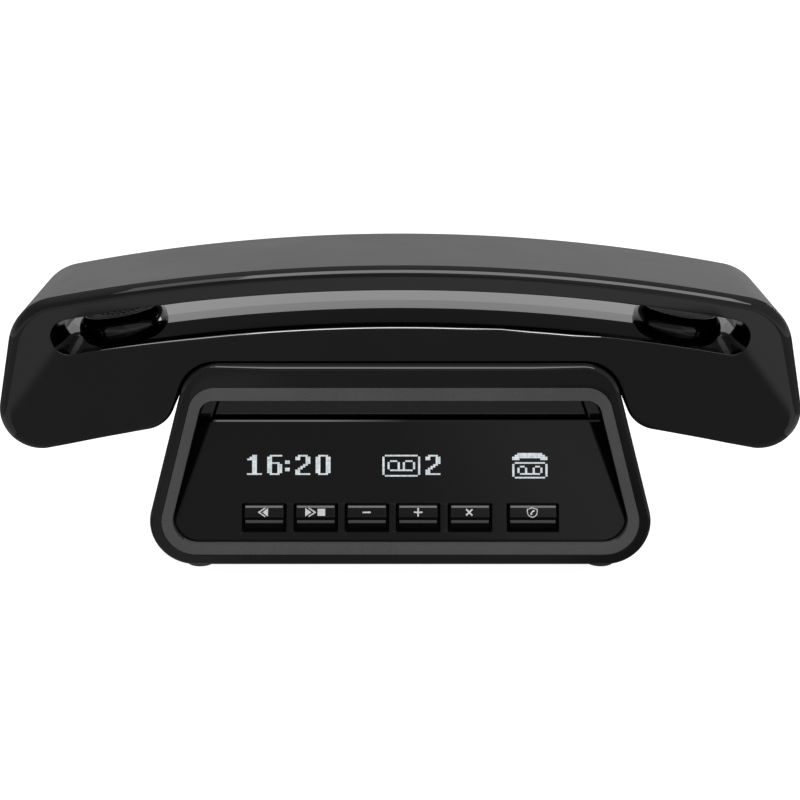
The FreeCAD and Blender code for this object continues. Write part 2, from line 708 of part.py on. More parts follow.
# ---------------------------------------------------------------- base shells
shell = new_body("BaseShell")
sk = sketch(shell, "ShellOutline", "XZ_Plane", lift_expr="-(Dims.base_depth / 2 - 2.4)")
draw(sk, [base_outline(0.0)])
pad(shell, sk, expr="Dims.base_depth - 2.4", name="ShellPad")
sk = sketch(shell, "ShellHollow", "XZ_Plane", lift_expr="Dims.base_depth / 2 - Dims.ring_thick")
draw(sk, [base_outline(dim("base_wall"))])
pocket(shell, sk, length=dim("base_depth"), name="ShellHollowPocket")
sk = sketch(shell, "ShellMouth", "XZ_Plane")
draw(sk, [ring_out()])
p = pocket(shell, sk, length=60.0, rev=True, name="ShellMouthPocket")
front_edges = rim_edges(p.Shape, FRONT)
f = round_edges(shell, p, front_edges, "base_round", "ShellFrontRound")
# bosses for the rear screws
BOSS = [(-61.5, 11.5), (61.5, 11.5), (-46.0, 55.5), (46.0, 55.5)]
sk = sketch(shell, "ShellBosses", "XZ_Plane", lift=-(dim("base_depth") / 2 - 2.4))
for x, z in BOSS:
    sk.addGeometry(Part.Circle(V(x, z, 0), V(0, 0, 1), 3.9), False)
    
pad(shell, sk, length=12.0, name="ShellBossPad")
sk = sketch(shell, "ShellBossBores", "XZ_Plane", lift=-(dim("base_depth") / 2 - 2.4))
for x, z in BOSS:
    circle(sk, x, z, "screw_shank")
pocket(shell, sk, length=9.0, rev=True, name="ShellBossPocket")
# sound slots under the loudspeaker
sk = sketch(shell, "SoundSlot", "XY_Plane")
rect(sk, -9.0, 0.0, 18.0, 1.4)
p = pocket(shell, sk, length=8.0, rev=True, name="SoundSlotPocket")
pat = shell.newObject("PartDesign::LinearPattern", "SoundSlots")
pat.Originals = [p]
pat.Direction = (sk, ["V_Axis"])
pat.Length = 16.0
pat.Occurrences = 6
shell.Tip = pat
doc.recompute()
# holes for the charging pins
sk = sketch(shell, "PinHoles", "XY_Plane", lift=dim("base_top") + 1.0)
for s in (-1, 1):
    sk.addGeometry(Part.Circle(V(px, s * py, 0), V(0, 0, 1), 1.3), False)
pocket(shell, sk, length=5.0, name="PinHolesPocket")
keep(shell, "base_shell")

ring = new_body("BezelRing")
sk = sketch(ring, "BezelSketch", "XZ_Plane", lift_expr="Dims.base_depth / 2 - Dims.ring_thick")
draw(sk, [ring_out(), ring_in()])
pad(ring, sk, expr="Dims.ring_thick", name="BezelPad")
keep(ring, "bezel_ring")

# recess liner: a hood behind the ring, full round in front, upper part only further back
hood = new_body("RecessHood")
y_back = dim("recess_back") + dim("recess_wall")
sk = sketch(hood, "HoodSketch", "XZ_Plane", lift=-y_back)
draw(sk, [ring_in(dim("recess_wall")), ring_in()])
pad(hood, sk, length=y_back - (FRONT + dim("ring_thick")), name="HoodPad")
sk = sketch(hood, "HoodBackSketch", "XZ_Plane", lift=-y_back)
s_ = dim("side_slope")
inner = [s for s in ring_in()]
zb = dim("shelf_height") - dim("shelf_thick") - 0.6
q_ = math.hypot(1, s_)
xb = dim("side_intercept") - dim("ring_side_in") * q_ - s_ * zb
top_segs = inner[3:6]
e_ = inner[3][0]
poly = [((-xb - 0.5, zb), (xb + 0.5, zb)), ((xb + 0.5, zb), (e_[0] + 0.5, e_[1])),
        ((e_[0] + 0.5, e_[1]), (e_[0] + 0.5, dim("ring_top_in") + 0.5)),
        ((e_[0] + 0.5, dim("ring_top_in") + 0.5), (-e_[0] - 0.5, dim("ring_top_in") + 0.5)),
        ((-e_[0] - 0.5, dim("ring_top_in") + 0.5), (-e_[0] - 0.5, e_[1])),
        ((-e_[0] - 0.5, e_[1]), (-xb - 0.5, zb))]
draw(sk, [poly])
pad(hood, sk, expr="Dims.recess_wall", name="HoodBack")
sk = sketch(hood, "HoodTrim", "YZ_Plane")
rect(sk, dim("shelf_front"), 0.0, 30.0, zb)
pocket(hood, sk, length=200.0, mid=True, name="HoodTrimPocket")
keep(hood, "recess_liner")

# leaning display panel
LEAN = dim("panel_lean")
SA, CA = math.sin(math.radians(LEAN)), math.cos(math.radians(LEAN))
PANEL = PLC(V(0, dim("panel_front"), dim("ring_low_in")), ROT(V(1, 0, 0), 90 - LEAN))


def panel_half(up):
    return dim("side_intercept") - dim("ring_side_in") * math.hypot(1, s_) - \
        s_ * (dim("ring_low_in") + up * CA) - dim("panel_gap")


def on_panel(x, up, out):
    """Point on the panel frame in the base's frame."""
    return PANEL.multVec(V(x, up, out))


KEYS = [("key_back", -38.3, "key_width"), ("key_play_stop", -23.8, "key_width"), ("key_minus", -9.4, "key_width"),
        ("key_plus", 5.0, "key_width"), ("key_delete", 19.6, "key_width"), ("key_call_guard", 37.3, "key_wide")]
panel = new_body("DisplayPanel")
sk = sketch(panel, "PanelSketch", "XY_Plane", lift_expr="-Dims.panel_thick")
foot = 1.15                                   # keeps the lower back edge off the recess floor
h0, h1, hh = panel_half(foot), panel_half(dim("panel_height")), dim("panel_height")
sp_ = s_ * CA                                 # side slope along the lean
qp = math.hypot(1, sp_)
rc = 7.6
pc = (h0 - sp_ * rc - rc * qp, foot + rc)     # lower corner centre
pt = (pc[0] + rc / qp, pc[1] + rc * sp_ / qp)
pa = (pc[0], foot)
pm = arc_mid(pc, rc, pa, pt)
pl = [(mir(pa), pa), (pa, pm, pt), (pt, (h1, hh)), ((h1, hh), (-h1, hh)), ((-h1, hh), mir(pt)),
      (mir(pt), mir(pm), mir(pa))]
draw(sk, [pl])
p = pad(panel, sk, expr="Dims.panel_thick", name="PanelPad")
sk = sketch(panel, "PanelKeyOpenings", "XY_Plane", lift=1.0)
for name, x, w in KEYS:
    ww, hk = dim(w) + 2 * dim("key_clear"), dim("key_high") + 2 * dim("key_clear") * 0.66
    rect(sk, x - ww / 2, dim("key_row") - hk / 2, ww, hk, "Dims.%s + 2 * Dims.key_clear" % w)
pk = pocket(panel, sk, length=5.0, name="PanelKeyPocket")
te = edges_where(pk.Shape, lambda e: abs(e.CenterOfMass.y - hh) < 1e-4 and abs(e.CenterOfMass.z) < 1e-4)
round_edges(panel, pk, te, "panel_round", "PanelTopRound")
panel.Placement = PANEL
keep(panel, "display_panel")

# keys of the base: wedge cap, flange behind the panel and a stem
KH, KP = dim("key_high"), dim("key_proud")
for name, x, w in KEYS:
    b = new_body("B_" + name)
    t = KH / 2
    sk = sketch(b, name + "Profile", "YZ_Plane")
    prof = [(-t, -2.1), (t, -2.1), (t, KP - 0.7), (t - 0.2, KP - 0.2), (t - 0.7, KP), (t - 3.2, KP), (t - 3.9, KP - 0.9),
            (t - 4.6, KP - 0.95), (-t, -0.5)]
    draw(sk, [[(prof[i], prof[(i + 1) % len(prof)]) for i in range(len(prof))]])
    pad(b, sk, expr="Dims." + w, mid=True, name=name + "CapPad")
    sk = sketch(b, name + "Flange", "XY_Plane", lift=-2.9)
    rect(sk, -dim(w) / 2 - 0.9, -t - 0.9, dim(w) + 1.8, KH + 1.8)
    pad(b, sk, length=0.8, name=name + "FlangePad")
    sk = sketch(b, name + "Stem", "XY_Plane", lift=-3.6)
    rect(sk, -1.5, -1.5, 3.0, 3.0)
    pad(b, sk, length=0.8, name=name + "StemPad")
    b.Placement = PLC(on_panel(x, dim("key_row"), 0), PANEL.Rotation)
    keep(b, name)

# key board and switches behind the keys, display module above them
kb = box_body("KeyBoard", (96.0, 9.0, 1.6))
kb.Placement = PANEL.multiply(PLC(V(-49.0, 3.6, -8.2), ROT()))
keep(kb, "key_board")
sw = []
for name, x, w in KEYS:
    s1 = Part.makeBox(6.0, 6.0, 1.5, V(x - 3.0, dim("key_row") - 3.0, -6.6))
    s2 = Part.makeCylinder(1.75, 0.85, V(x, dim("key_row"), -5.1))
    s3 = s1.fuse(s2).removeSplitter()
    s3.Placement = PANEL.multiply(s3.Placement)
    sw.append(s3)
keep(solid_feature("TactSwitches", Part.makeCompound(sw)), "tact_switches")
dm = box_body("DisplayModule", (100.0, 17.0, 2.6))
dm.Placement = PANEL.multiply(PLC(V(-50.0, 13.2, -4.7), ROT()))
keep(dm, "display_module")

# shelf behind the panel's top edge
SH, ST, SF = dim("shelf_height"), dim("shelf_thick"), dim("shelf_front")
deck = new_body("ShelfDeck")
sk = sketch(deck, "DeckSketch", "XY_Plane", lift_expr="Dims.shelf_height - Dims.shelf_thick")
rect(sk, -dim("shelf_half"), SF, 2 * dim("shelf_half"), dim("recess_back") - SF, "2 * Dims.shelf_half",
     "Dims.recess_back - Dims.shelf_front")
pad(deck, sk, expr="Dims.shelf_thick", name="DeckPad")
keep(deck, "shelf_deck")
led = []
for s in (-1, 1):
    x0 = dim("shelf_half") + dim("shelf_gap")
    z0, z1 = SH - ST, SH
    xo = lambda z: dim("side_intercept") - dim("ring_side_in") * math.hypot(1, s_) - s_ * z - 0.02
    pts = [V(s * x0, SF, z0), V(s * xo(z0), SF, z0), V(s * xo(z1), SF, z1), V(s * x0, SF, z1), V(s * x0, SF, z0)]
    led.append(Part.Face(Part.makePolygon(pts)).extrude(V(0, dim("recess_back") - SF, 0)))
keep(solid_feature("ShelfLedges", Part.makeCompound(led)), "shelf_side_ledges")

# rear cover with the openings for the line and the supply
back = new_body("RearPanel")
sk = sketch(back, "RearSketch", "XZ_Plane", lift_expr="-Dims.base_depth / 2")
draw(sk, [base_outline(0.0)])
p = pad(back, sk, length=2.4, name="RearPad")
be = rim_edges(p.Shape, -FRONT)
f = back.newObject("PartDesign::Fillet", "RearRound")
f.Base = (p, be)
f.Radius = 2.0
doc.recompute()
LINE, POWER = (-30.0, 30.2), (30.0, 29.6)
sk = sketch(back, "RearOpenings", "XZ_Plane", lift=-(dim("base_depth") / 2 + 1.0))
rect(sk, LINE[0] - 7.6, LINE[1] - 6.6, 15.2, 13.2)
rect(sk, POWER[0] - 4.8, POWER[1] - 5.8, 9.6, 11.6)
pocket(back, sk, length=8.0, rev=True, name="RearOpeningPocket")
sk = sketch(back, "RearScrewHoles", "XZ_Plane", lift=-(dim("base_depth") / 2 + 1.0))
for x, z in BOSS:
    sk.addGeometry(Part.Circle(V(x, z, 0), V(0, 0, 1), 1.45), False)
pocket(back, sk, length=8.0, rev=True, name="RearScrewPocket")
sk = sketch(back, "RearScrewSeats", "XZ_Plane", lift=-(dim("base_depth") / 2 + 1.0))
for x, z in BOSS:
    sk.addGeometry(Part.Circle(V(x, z, 0), V(0, 0, 1), 2.75), False)
pocket(back, sk, length=1.0 + 1.4, rev=True, name="RearSeatPocket")
keep(back, "base_rear_cover")
screws = []
for x, z in BOSS:
    s = screw_shape(dim("screw_head"), 1.3, dim("screw_shank"), 9.2)
    s.Placement = PLC(V(x, -FRONT - 1.4, z), ROT(V(0, 0, 1), V(0, 1, 0)))
    screws.append(s)
keep(solid_feature("RearScrews", Part.makeCompound(screws)), "base_screws")

# rubber feet, their tops following the underside
foot_solids = []
under = Part.Face(Part.Wire([Part.LineSegment(V(s[0][0], -60, s[0][1]), V(s[1][0], -60, s[1][1])).toShape()
                             if len(s) == 2 else
                             Part.Arc(V(s[0][0], -60, s[0][1]), V(s[1][0], -60, s[1][1]), V(s[2][0], -60, s[2][1])).toShape()
                             for s in base_outline(0.0)])).extrude(V(0, 120, 0))
for sx in (-1, 1):
    for sy in (-1, 1):
        c = Part.makeCylinder(dim("foot_radius"), 6.0, V(sx * dim("foot_x"), sy * dim("foot_y"), 0))
        c = c.makeFillet(0.6, [e for e in c.Edges if abs(e.CenterOfMass.z) < 1e-6])
        foot_solids.append(c.cut(under).Solids[0])
keep(solid_feature("Feet", Part.makeCompound(foot_solids)), "rubber_feet")

# main board, radio module, loudspeaker, sockets
mb = box_body("MainBoard", (104.0, 30.0, 1.6))
mb.Placement = PLC(V(-52.0, -7.0, 20.6), ROT())
keep(mb, "main_board")
rf = box_body("RadioModule", (30.0, 20.0, 3.0))
rf.Placement = PLC(V(-15.0, -4.0, 22.2), ROT())
keep(rf, "radio_module")
spk = new_body("Loudspeaker")
sk = sketch(spk, "SpeakerProfile", "XZ_Plane")
sp = [(0, 0), (13.8, 0), (13.8, 2.2), (12.6, 2.2), (8.0, 5.0), (8.0, 9.5), (0, 9.5)]
draw(sk, [[(sp[i], sp[(i + 1) % len(sp)]) for i in range(len(sp))]])
f = spk.newObject("PartDesign::Revolution", "SpeakerTurn")
f.Profile = sk
f.ReferenceAxis = (sk, ["V_Axis"])
f.Angle = 360
doc.recompute()
spk.Placement = PLC(V(0, 8.7, dim("base_floor") + dim("base_wall")), ROT())
keep(spk, "loudspeaker")

sock = new_body("LineSocket")
sk = sketch(sock, "SocketBlock", "XY_Plane")
rect(sk, -7.5, 0.0, 15.0, 14.0)
pad(sock, sk, length=13.0, name="SocketPad")
sk = sketch(sock, "SocketMouth", "XZ_Plane", lift=-15.0)
rect(sk, -4.9, 2.6, 9.8, 6.8)
pocket(sock, sk, length=11.0, rev=True, name="SocketMouthPocket")
sk = sketch(sock, "SocketLatch", "XZ_Plane", lift=-15.0)
rect(sk, -3.1, 9.0, 6.2, 2.2)
pocket(sock, sk, length=11.0, rev=True, name="SocketLatchPocket")
sock.Placement = PLC(V(LINE[0], 27.0 - 14.0, 23.7), ROT())
keep(sock, "line_socket")

jack = new_body("PowerInlet")
sk = sketch(jack, "JackBlock", "XY_Plane")
rect(sk, -4.5, 0.0, 9.0, 13.5)
pad(jack, sk, length=11.0, name="JackPad")
sk = sketch(jack, "JackBore", "XZ_Plane", lift=-14.0)
sk.addGeometry(Part.Circle(V(0, 5.5, 0), V(0, 0, 1), 3.15), False)
sk.addGeometry(Part.Circle(V(0, 5.5, 0), V(0, 0, 1), 1.05), False)
pocket(jack, sk, length=10.0, rev=True, name="JackBorePocket")
jack.Placement = PLC(V(POWER[0], 27.0 - 13.5, 24.1), ROT())
keep(jack, "power_inlet")

# spring pins that charge the handset, in their insulating block
cb = new_body("ChargeBlock")
sk = sketch(cb, "BlockSketch", "XY_Plane", lift=53.3)
rect(sk, px - 4.0, -9.5, 8.0, 19.0)
pad(cb, sk, length=5.6, name="BlockPad")
for nm, z0, r in (("Guide", 53.0, dim("pin_radius") + dim("pin_clear")), ("Collar", 54.2, dim("pin_collar") + dim("pin_clear"))):
    sk = sketch(cb, "Block" + nm, "XY_Plane", lift=(59.5 if nm == "Guide" else 57.4))
    for s in (-1, 1):
        sk.addGeometry(Part.Circle(V(px, s * py, 0), V(0, 0, 1), r), False)
    pocket(cb, sk, length=(59.5 - 54.2 if nm == "Guide" else 57.4 - 54.2), name="Block%sPocket" % nm)
keep(cb, "charge_block")
for s, name in ((-1, "charge_pin_front"), (1, "charge_pin_rear")):
    b = new_body("P_" + name)
    sk = sketch(b, name + "Profile", "XZ_Plane")
    r, c = dim("pin_radius"), dim("pin_collar")
    top = dim("base_top") + dim("pin_proud")
    prof = [(0, 55.4), (r, 55.4), (r, 56.2), (c, 56.2), (c, 57.2), (r, 57.2), (r, top - 0.5), (r - 0.5, top), (0, top)]
    draw(sk, [[(prof[i], prof[(i + 1) % len(prof)]) for i in range(len(prof))]])
    f = b.newObject("PartDesign::Revolution", name + "Turn")
    f.Profile = sk
    f.ReferenceAxis = (sk, ["V_Axis"])
    f.Angle = 360
    doc.recompute()
    b.Placement = PLC(V(px, s * py, 0), ROT())
    keep(b, name)

# ---------------------------------------------------------------- test and write
doc.recompute()
bad = []
for o in doc.Objects:
    if "Invalid" in o.State or "Error" in o.State:
        bad.append("%s %s" % (o.Name, o.State))
names = set()
for o in NODES:
    s = o.Shape
    if s.isNull() or not s.isValid() or s.Volume <= 0:
        bad.append("%s shape" % o.Label)
    if o.Label in names:
        bad.append("%s twice" % o.Label)
    names.add(o.Label)
if bad:
    raise RuntimeError("; ".join(bad))
os.makedirs("parts", exist_ok=True)
for o in NODES:
    o.Shape.exportStep("parts/%s.step" % o.Label)
print(len(NODES), "nodes")
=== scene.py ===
import math

import bmesh
import bpy
from mathutils import Matrix, Vector


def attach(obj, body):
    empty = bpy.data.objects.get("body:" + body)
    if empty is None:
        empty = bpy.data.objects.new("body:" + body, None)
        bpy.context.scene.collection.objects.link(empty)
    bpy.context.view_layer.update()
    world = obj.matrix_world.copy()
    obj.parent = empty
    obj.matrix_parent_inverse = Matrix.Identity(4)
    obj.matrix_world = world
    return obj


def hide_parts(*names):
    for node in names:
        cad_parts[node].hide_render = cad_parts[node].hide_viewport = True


# Answering machine with an arched cordless handset: shells, keys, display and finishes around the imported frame.
# Lengths in the code are millimetres; meshes are written in metres.

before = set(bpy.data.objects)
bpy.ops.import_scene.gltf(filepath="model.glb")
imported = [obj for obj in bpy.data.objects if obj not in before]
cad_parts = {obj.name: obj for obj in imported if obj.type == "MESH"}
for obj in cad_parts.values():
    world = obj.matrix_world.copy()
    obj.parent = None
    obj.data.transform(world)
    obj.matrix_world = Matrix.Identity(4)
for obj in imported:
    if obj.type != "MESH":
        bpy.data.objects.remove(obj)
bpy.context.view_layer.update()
MM = 0.001
ZC = -426.0
scene = bpy.context.scene


# ------------------------------------------------------------------ camera
cam_data = bpy.data.cameras.new("view_camera")
cam_data.sensor_fit = "HORIZONTAL"
cam_data.sensor_width = 36.0
cam_data.lens = 84.96
cam_data.clip_start = 0.01
cam_data.clip_end = 30.0
cam_data.shift_x = -0.0004
cam_data.shift_y = -0.0015
cam = bpy.data.objects.new("view_camera", cam_data)
cam.location = (0.0, -0.525, 0.1918)
cam.rotation_euler = (math.radians(90.0 - 15.65), 0.0, 0.0)
scene.collection.objects.link(cam)
scene.camera = cam


# ------------------------------------------------------------------ outlines (X, Z)
SLOPE = 0.267
Q = math.hypot(1, SLOPE)
SIDE = 74.76
LOBE = 473.35


def arc_mid(c, r, a, b):
    mx, mz = (a[0] + b[0]) / 2 - c[0], (a[1] + b[1]) / 2 - c[1]
    k = r / math.hypot(mx, mz)
    return (c[0] + mx * k, c[1] + mz * k)


LOBE_C = (-7.7, ZC + 1.86)      # centre of the arc under the right lobe


def on_line_circle(p, u, rad, c0=(0.0, ZC)):
    px, pz = p[0] - c0[0], p[1] - c0[1]
    b = px * u[0] + pz * u[1]
    c = px * px + pz * pz - rad * rad
    k = -b + math.sqrt(b * b - c)
    return (p[0] + k * u[0], p[1] + k * u[1])


def handset_marks(w):
    sl = math.radians(10.4)
    n = (math.cos(sl), math.sin(sl))
    u = (-math.sin(sl), math.cos(sl))
    pe = (110.45 - w * n[0], 50.4 - w * n[1])
    rt, rl = 514.74 - w, LOBE + w
    r1, r2, r3, r4 = 14.9 - w, 10.9 - w, 9.5 - w, 11.0 + w
    m = {"rt": rt, "rl": rl, "r1": r1, "r2": r2, "r3": r3, "r4": r4}
    c1 = on_line_circle((pe[0] - r1 * n[0], pe[1] - r1 * n[1]), u, rt - r1)
    k = rt / (rt - r1)
    m["c1"] = c1
    m["top"] = (c1[0] * k, ZC + (c1[1] - ZC) * k)
    m["end_hi"] = (c1[0] + r1 * n[0], c1[1] + r1 * n[1])
    lx, lz = LOBE_C
    c2 = on_line_circle((pe[0] - r2 * n[0], pe[1] - r2 * n[1]), u, rl + r2, LOBE_C)
    k = rl / (rl + r2)
    m["c2"] = c2
    m["end_lo"] = (c2[0] + r2 * n[0], c2[1] + r2 * n[1])
    m["low"] = (c2[0], c2[1] - r2)
    m["lobe_out"] = (lx + (c2[0] - lx) * k, lz + (c2[1] - lz) * k)
    b0 = SIDE + (0.65 + w) * Q
    nn = (1 / Q, SLOPE / Q)
    us = (-SLOPE / Q, 1 / Q)
    c3 = on_line_circle((b0 + r3 * Q, 0.0), us, rl + r3, LOBE_C)
    k = rl / (rl + r3)
    m["c3"] = c3
    m["lobe_in"] = (lx + (c3[0] - lx) * k, lz + (c3[1] - lz) * k)
    m["side_lo"] = (c3[0] - r3 * nn[0], c3[1] - r3 * nn[1])
    zr = 62.2 + w
    c4 = (b0 - SLOPE * (zr - r4) - r4 * Q, zr - r4)
    m["c4"] = c4
    m["side_hi"] = (c4[0] + r4 * nn[0], c4[1] + r4 * nn[1])
    m["roof"] = (c4[0], zr)
    return m


def mir(p):
    return (-p[0], p[1])


def lower_run(m):
    return [
        (mir(m["low"]), mir(arc_mid(m["c2"], m["r2"], m["low"], m["lobe_out"])), mir(m["lobe_out"])),
        (mir(m["lobe_out"]), mir(arc_mid(LOBE_C, m["rl"], m["lobe_out"], m["lobe_in"])), mir(m["lobe_in"])),
        (mir(m["lobe_in"]), mir(arc_mid(m["c3"], m["r3"], m["lobe_in"], m["side_lo"])), mir(m["side_lo"])),
        (mir(m["side_lo"]), mir(m["side_hi"])),
        (mir(m["side_hi"]), mir(arc_mid(m["c4"], m["r4"], m["side_hi"], m["roof"])), mir(m["roof"])),
        (mir(m["roof"]), m["roof"]),
        (m["roof"], arc_mid(m["c4"], m["r4"], m["side_hi"], m["roof"]), m["side_hi"]),
        (m["side_hi"], m["side_lo"]),
        (m["side_lo"], arc_mid(m["c3"], m["r3"], m["lobe_in"], m["side_lo"]), m["lobe_in"]),
        (m["lobe_in"], arc_mid(LOBE_C, m["rl"], m["lobe_out"], m["lobe_in"]), m["lobe_out"]),
        (m["lobe_out"], arc_mid(m["c2"], m["r2"], m["low"], m["lobe_out"]), m["low"]),
    ]


def upper_run(m):
    return [
        (m["low"], arc_mid(m["c2"], m["r2"], m["low"], m["end_lo"]), m["end_lo"]),
        (m["end_lo"], m["end_hi"]),
        (m["end_hi"], arc_mid(m["c1"], m["r1"], m["end_hi"], m["top"]), m["top"]),
        (m["top"], (0.0, ZC + m["rt"]), mir(m["top"])),
        (mir(m["top"]), mir(arc_mid(m["c1"], m["r1"], m["end_hi"], m["top"])), mir(m["end_hi"])),
        (mir(m["end_hi"]), mir(m["end_lo"])),
        (mir(m["end_lo"]), mir(arc_mid(m["c2"], m["r2"], m["low"], m["end_lo"])), mir(m["low"])),
    ]


def slot_outline(g):
    a = math.radians(10.355)
    ro, ri = 507.2 + g, 499.4 - g
    rm, re = (ro + ri) / 2, (ro - ri) / 2
    u = (math.sin(a), math.cos(a))
    t = (math.cos(a), -math.sin(a))
    c = (rm * u[0], ZC + rm * u[1])
    hi = (ro * u[0], ZC + ro * u[1])
    lo = (ri * u[0], ZC + ri * u[1])
    tip = (c[0] + re * t[0], c[1] + re * t[1])
    return [
        (mir(hi), (0.0, ZC + ro), hi),
        (hi, tip, lo),
        (lo, (0.0, ZC + ri), mir(lo)),
        (mir(lo), mir(tip), mir(hi)),
    ]


def trapezoid(side_in, low, top, r_low, r_top, grow=0.0):
    b0 = SIDE - (side_in - grow) * Q
    low, top, r_low, r_top = low - grow, top + grow, r_low + grow, r_top + grow
    n = (1 / Q, SLOPE / Q)
    cl = (b0 - SLOPE * (low + r_low) - r_low * Q, low + r_low)
    ct = (b0 - SLOPE * (top - r_top) - r_top * Q, top - r_top)
    a = (cl[0], low)
    b = (cl[0] + r_low * n[0], cl[1] + r_low * n[1])
    c = (ct[0] + r_top * n[0], ct[1] + r_top * n[1])
    e = (ct[0], top)
    return [
        (mir(a), a),
        (a, arc_mid(cl, r_low, a, b), b),
        (b, c),
        (c, arc_mid(ct, r_top, c, e), e),
        (e, mir(e)),
        (mir(e), mir(arc_mid(ct, r_top, c, e)), mir(c)),
        (mir(c), mir(b)),
        (mir(b), mir(arc_mid(cl, r_low, a, b)), mir(a)),
    ]


def base_outline(w):
    return trapezoid(w, 3.75 + w, 62.0 - w, 12.45 - w, 10.8 - w)


def ring_out(g=0.0):
    return trapezoid(3.2, 6.8, 55.4, 9.6, 7.5, g)


def ring_in(g=0.0):
    return trapezoid(6.3, 9.8, 51.5, 6.9, 4.2, g)


# ------------------------------------------------------------------ sampling
def circum(a, b, c):
    ax, ay = a
    bx, by = b
    cx, cy = c
    d = 2 * (ax * (by - cy) + bx * (cy - ay) + cx * (ay - by))
    ux = ((ax * ax + ay * ay) * (by - cy) + (bx * bx + by * by) * (cy - ay) + (cx * cx + cy * cy) * (ay - by)) / d
    uy = ((ax * ax + ay * ay) * (cx - bx) + (bx * bx + by * by) * (ax - cx) + (cx * cx + cy * cy) * (bx - ax)) / d
    return ux, uy


def arc_span(s):
    c = circum(*s)
    a0, am, a1 = (math.atan2(p[1] - c[1], p[0] - c[0]) for p in s)
    ccw = ((am - a0) % (2 * math.pi)) < ((a1 - a0) % (2 * math.pi))
    sweep = (a1 - a0) % (2 * math.pi) if ccw else -((a0 - a1) % (2 * math.pi))
    return c, math.hypot(s[0][0] - c[0], s[0][1] - c[1]), a0, sweep


def counts(segs, tol=0.004, line=14.0):
    out = []
    for s in segs:
        if len(s) == 2:
            out.append(max(1, int(math.dist(s[0], s[1]) / line)))
        else:
            c, r, a0, sw = arc_span(s)
            out.append(max(2, math.ceil(abs(sw) / (2 * math.acos(1 - tol / max(r, 0.02))))))
    return out


def sample(segs, ns, closed=True):
    pts = []
    for s, n in zip(segs, ns):
        if len(s) == 2:
            for i in range(n):
                k = i / n
                pts.append((s[0][0] + (s[1][0] - s[0][0]) * k, s[0][1] + (s[1][1] - s[0][1]) * k))
        else:
            c, r, a0, sw = arc_span(s)
            for i in range(n):
                a = a0 + sw * i / n
                pts.append((c[0] + r * math.cos(a), c[1] + r * math.sin(a)))
    if not closed:
        pts.append(tuple(segs[-1][-1]))
    return pts


def flat(pts, y):
    """Outline points in the X-Z plane at this Y."""
    return [Vector((p[0], y, p[1])) for p in pts]


# ------------------------------------------------------------------ mesh kit
def ring(bm, pts):
    return [bm.verts.new(p) for p in pts]


def bridge(bm, a, b, closed=True):
    n = len(a)
    for i in range(n if closed else n - 1):
        j = (i + 1) % n
        bm.faces.new((a[i], a[j], b[j], b[i]))


def loft(bm, loops, closed=True, wrap=False):
    """Quads between neighbouring loops of equal length. Returns the rings of vertices."""
    rings = [ring(bm, l) for l in loops]
    for a, b in zip(rings, rings[1:]):
        bridge(bm, a, b, closed)
    if wrap:
        bridge(bm, rings[-1], rings[0], closed)
    return rings


def edges_of(r):
    out = []
    n = len(r)
    for i in range(n):
        a, b = r[i], r[(i + 1) % n]
        for e in a.link_edges:
            if e.other_vert(a) is b:
                out.append(e)
                break
    return out


def fill(bm, *rings):
    es = []
    for r in rings:
        es += edges_of(r)
    bmesh.ops.triangle_fill(bm, use_beauty=True, use_dissolve=False, edges=es)


def arc_steps(n):
    return [math.pi / 2 * i / n for i in range(n + 1)]


PIECES = []


def make(name, bm, body, slot, nodes=(), sharp=36.0, weighted=True, place=None, mat=None, cut=None):
    bmesh.ops.recalc_face_normals(bm, faces=bm.faces[:])
    if place is not None:
        bmesh.ops.transform(bm, matrix=place, verts=bm.verts[:])
    bmesh.ops.scale(bm, vec=(MM, MM, MM), verts=bm.verts[:])
    me = bpy.data.meshes.new(name)
    bm.to_mesh(me)
    bm.free()
    obj = bpy.data.objects.new(name, me)
    scene.collection.objects.link(obj)
    if cut:
        cut_away(obj, cut)
        me = obj.data
    smooth(me, sharp)
    if weighted:
        m = obj.modifiers.new("normals", "WEIGHTED_NORMAL")
        m.mode = "FACE_AREA_WITH_ANGLE"
        m.weight = 50
        m.keep_sharp = True
    me.materials.clear()
    me.materials.append(MATS[mat or slot])
    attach(obj, body)
    if nodes:
        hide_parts(*nodes)
    PIECES.append(obj)
    return obj


def smooth(me, sharp):
    bm = bmesh.new()
    bm.from_mesh(me)
    lim = math.radians(sharp)
    for f in bm.faces:
        f.smooth = True
    for e in bm.edges:
        e.smooth = not (len(e.link_faces) != 2 or e.calc_face_angle(0.0) > lim)
    bm.to_mesh(me)
    bm.free()


def cut_away(obj, makers):
    """Exact boolean difference with simple closed tools, applied to the mesh."""
    bm = bmesh.new()
    for m in makers:
        m(bm)
    bmesh.ops.recalc_face_normals(bm, faces=bm.faces[:])
    bmesh.ops.scale(bm, vec=(MM, MM, MM), verts=bm.verts[:])
    me = bpy.data.meshes.new("tool")
    bm.to_mesh(me)
    bm.free()
    tool = bpy.data.objects.new("tool", me)
    scene.collection.objects.link(tool)
    b = obj.modifiers.new("cut", "BOOLEAN")
    b.operation = "DIFFERENCE"
    b.solver = "EXACT"
    b.object = tool
    bpy.context.view_layer.update()
    dg = bpy.context.evaluated_depsgraph_get()
    new = bpy.data.meshes.new_from_object(obj.evaluated_get(dg))
    old = obj.data
    obj.modifiers.clear()
    obj.data = new
    new.name = old.name
    bpy.data.meshes.remove(old)
    bpy.data.objects.remove(tool)
    bpy.data.meshes.remove(me)


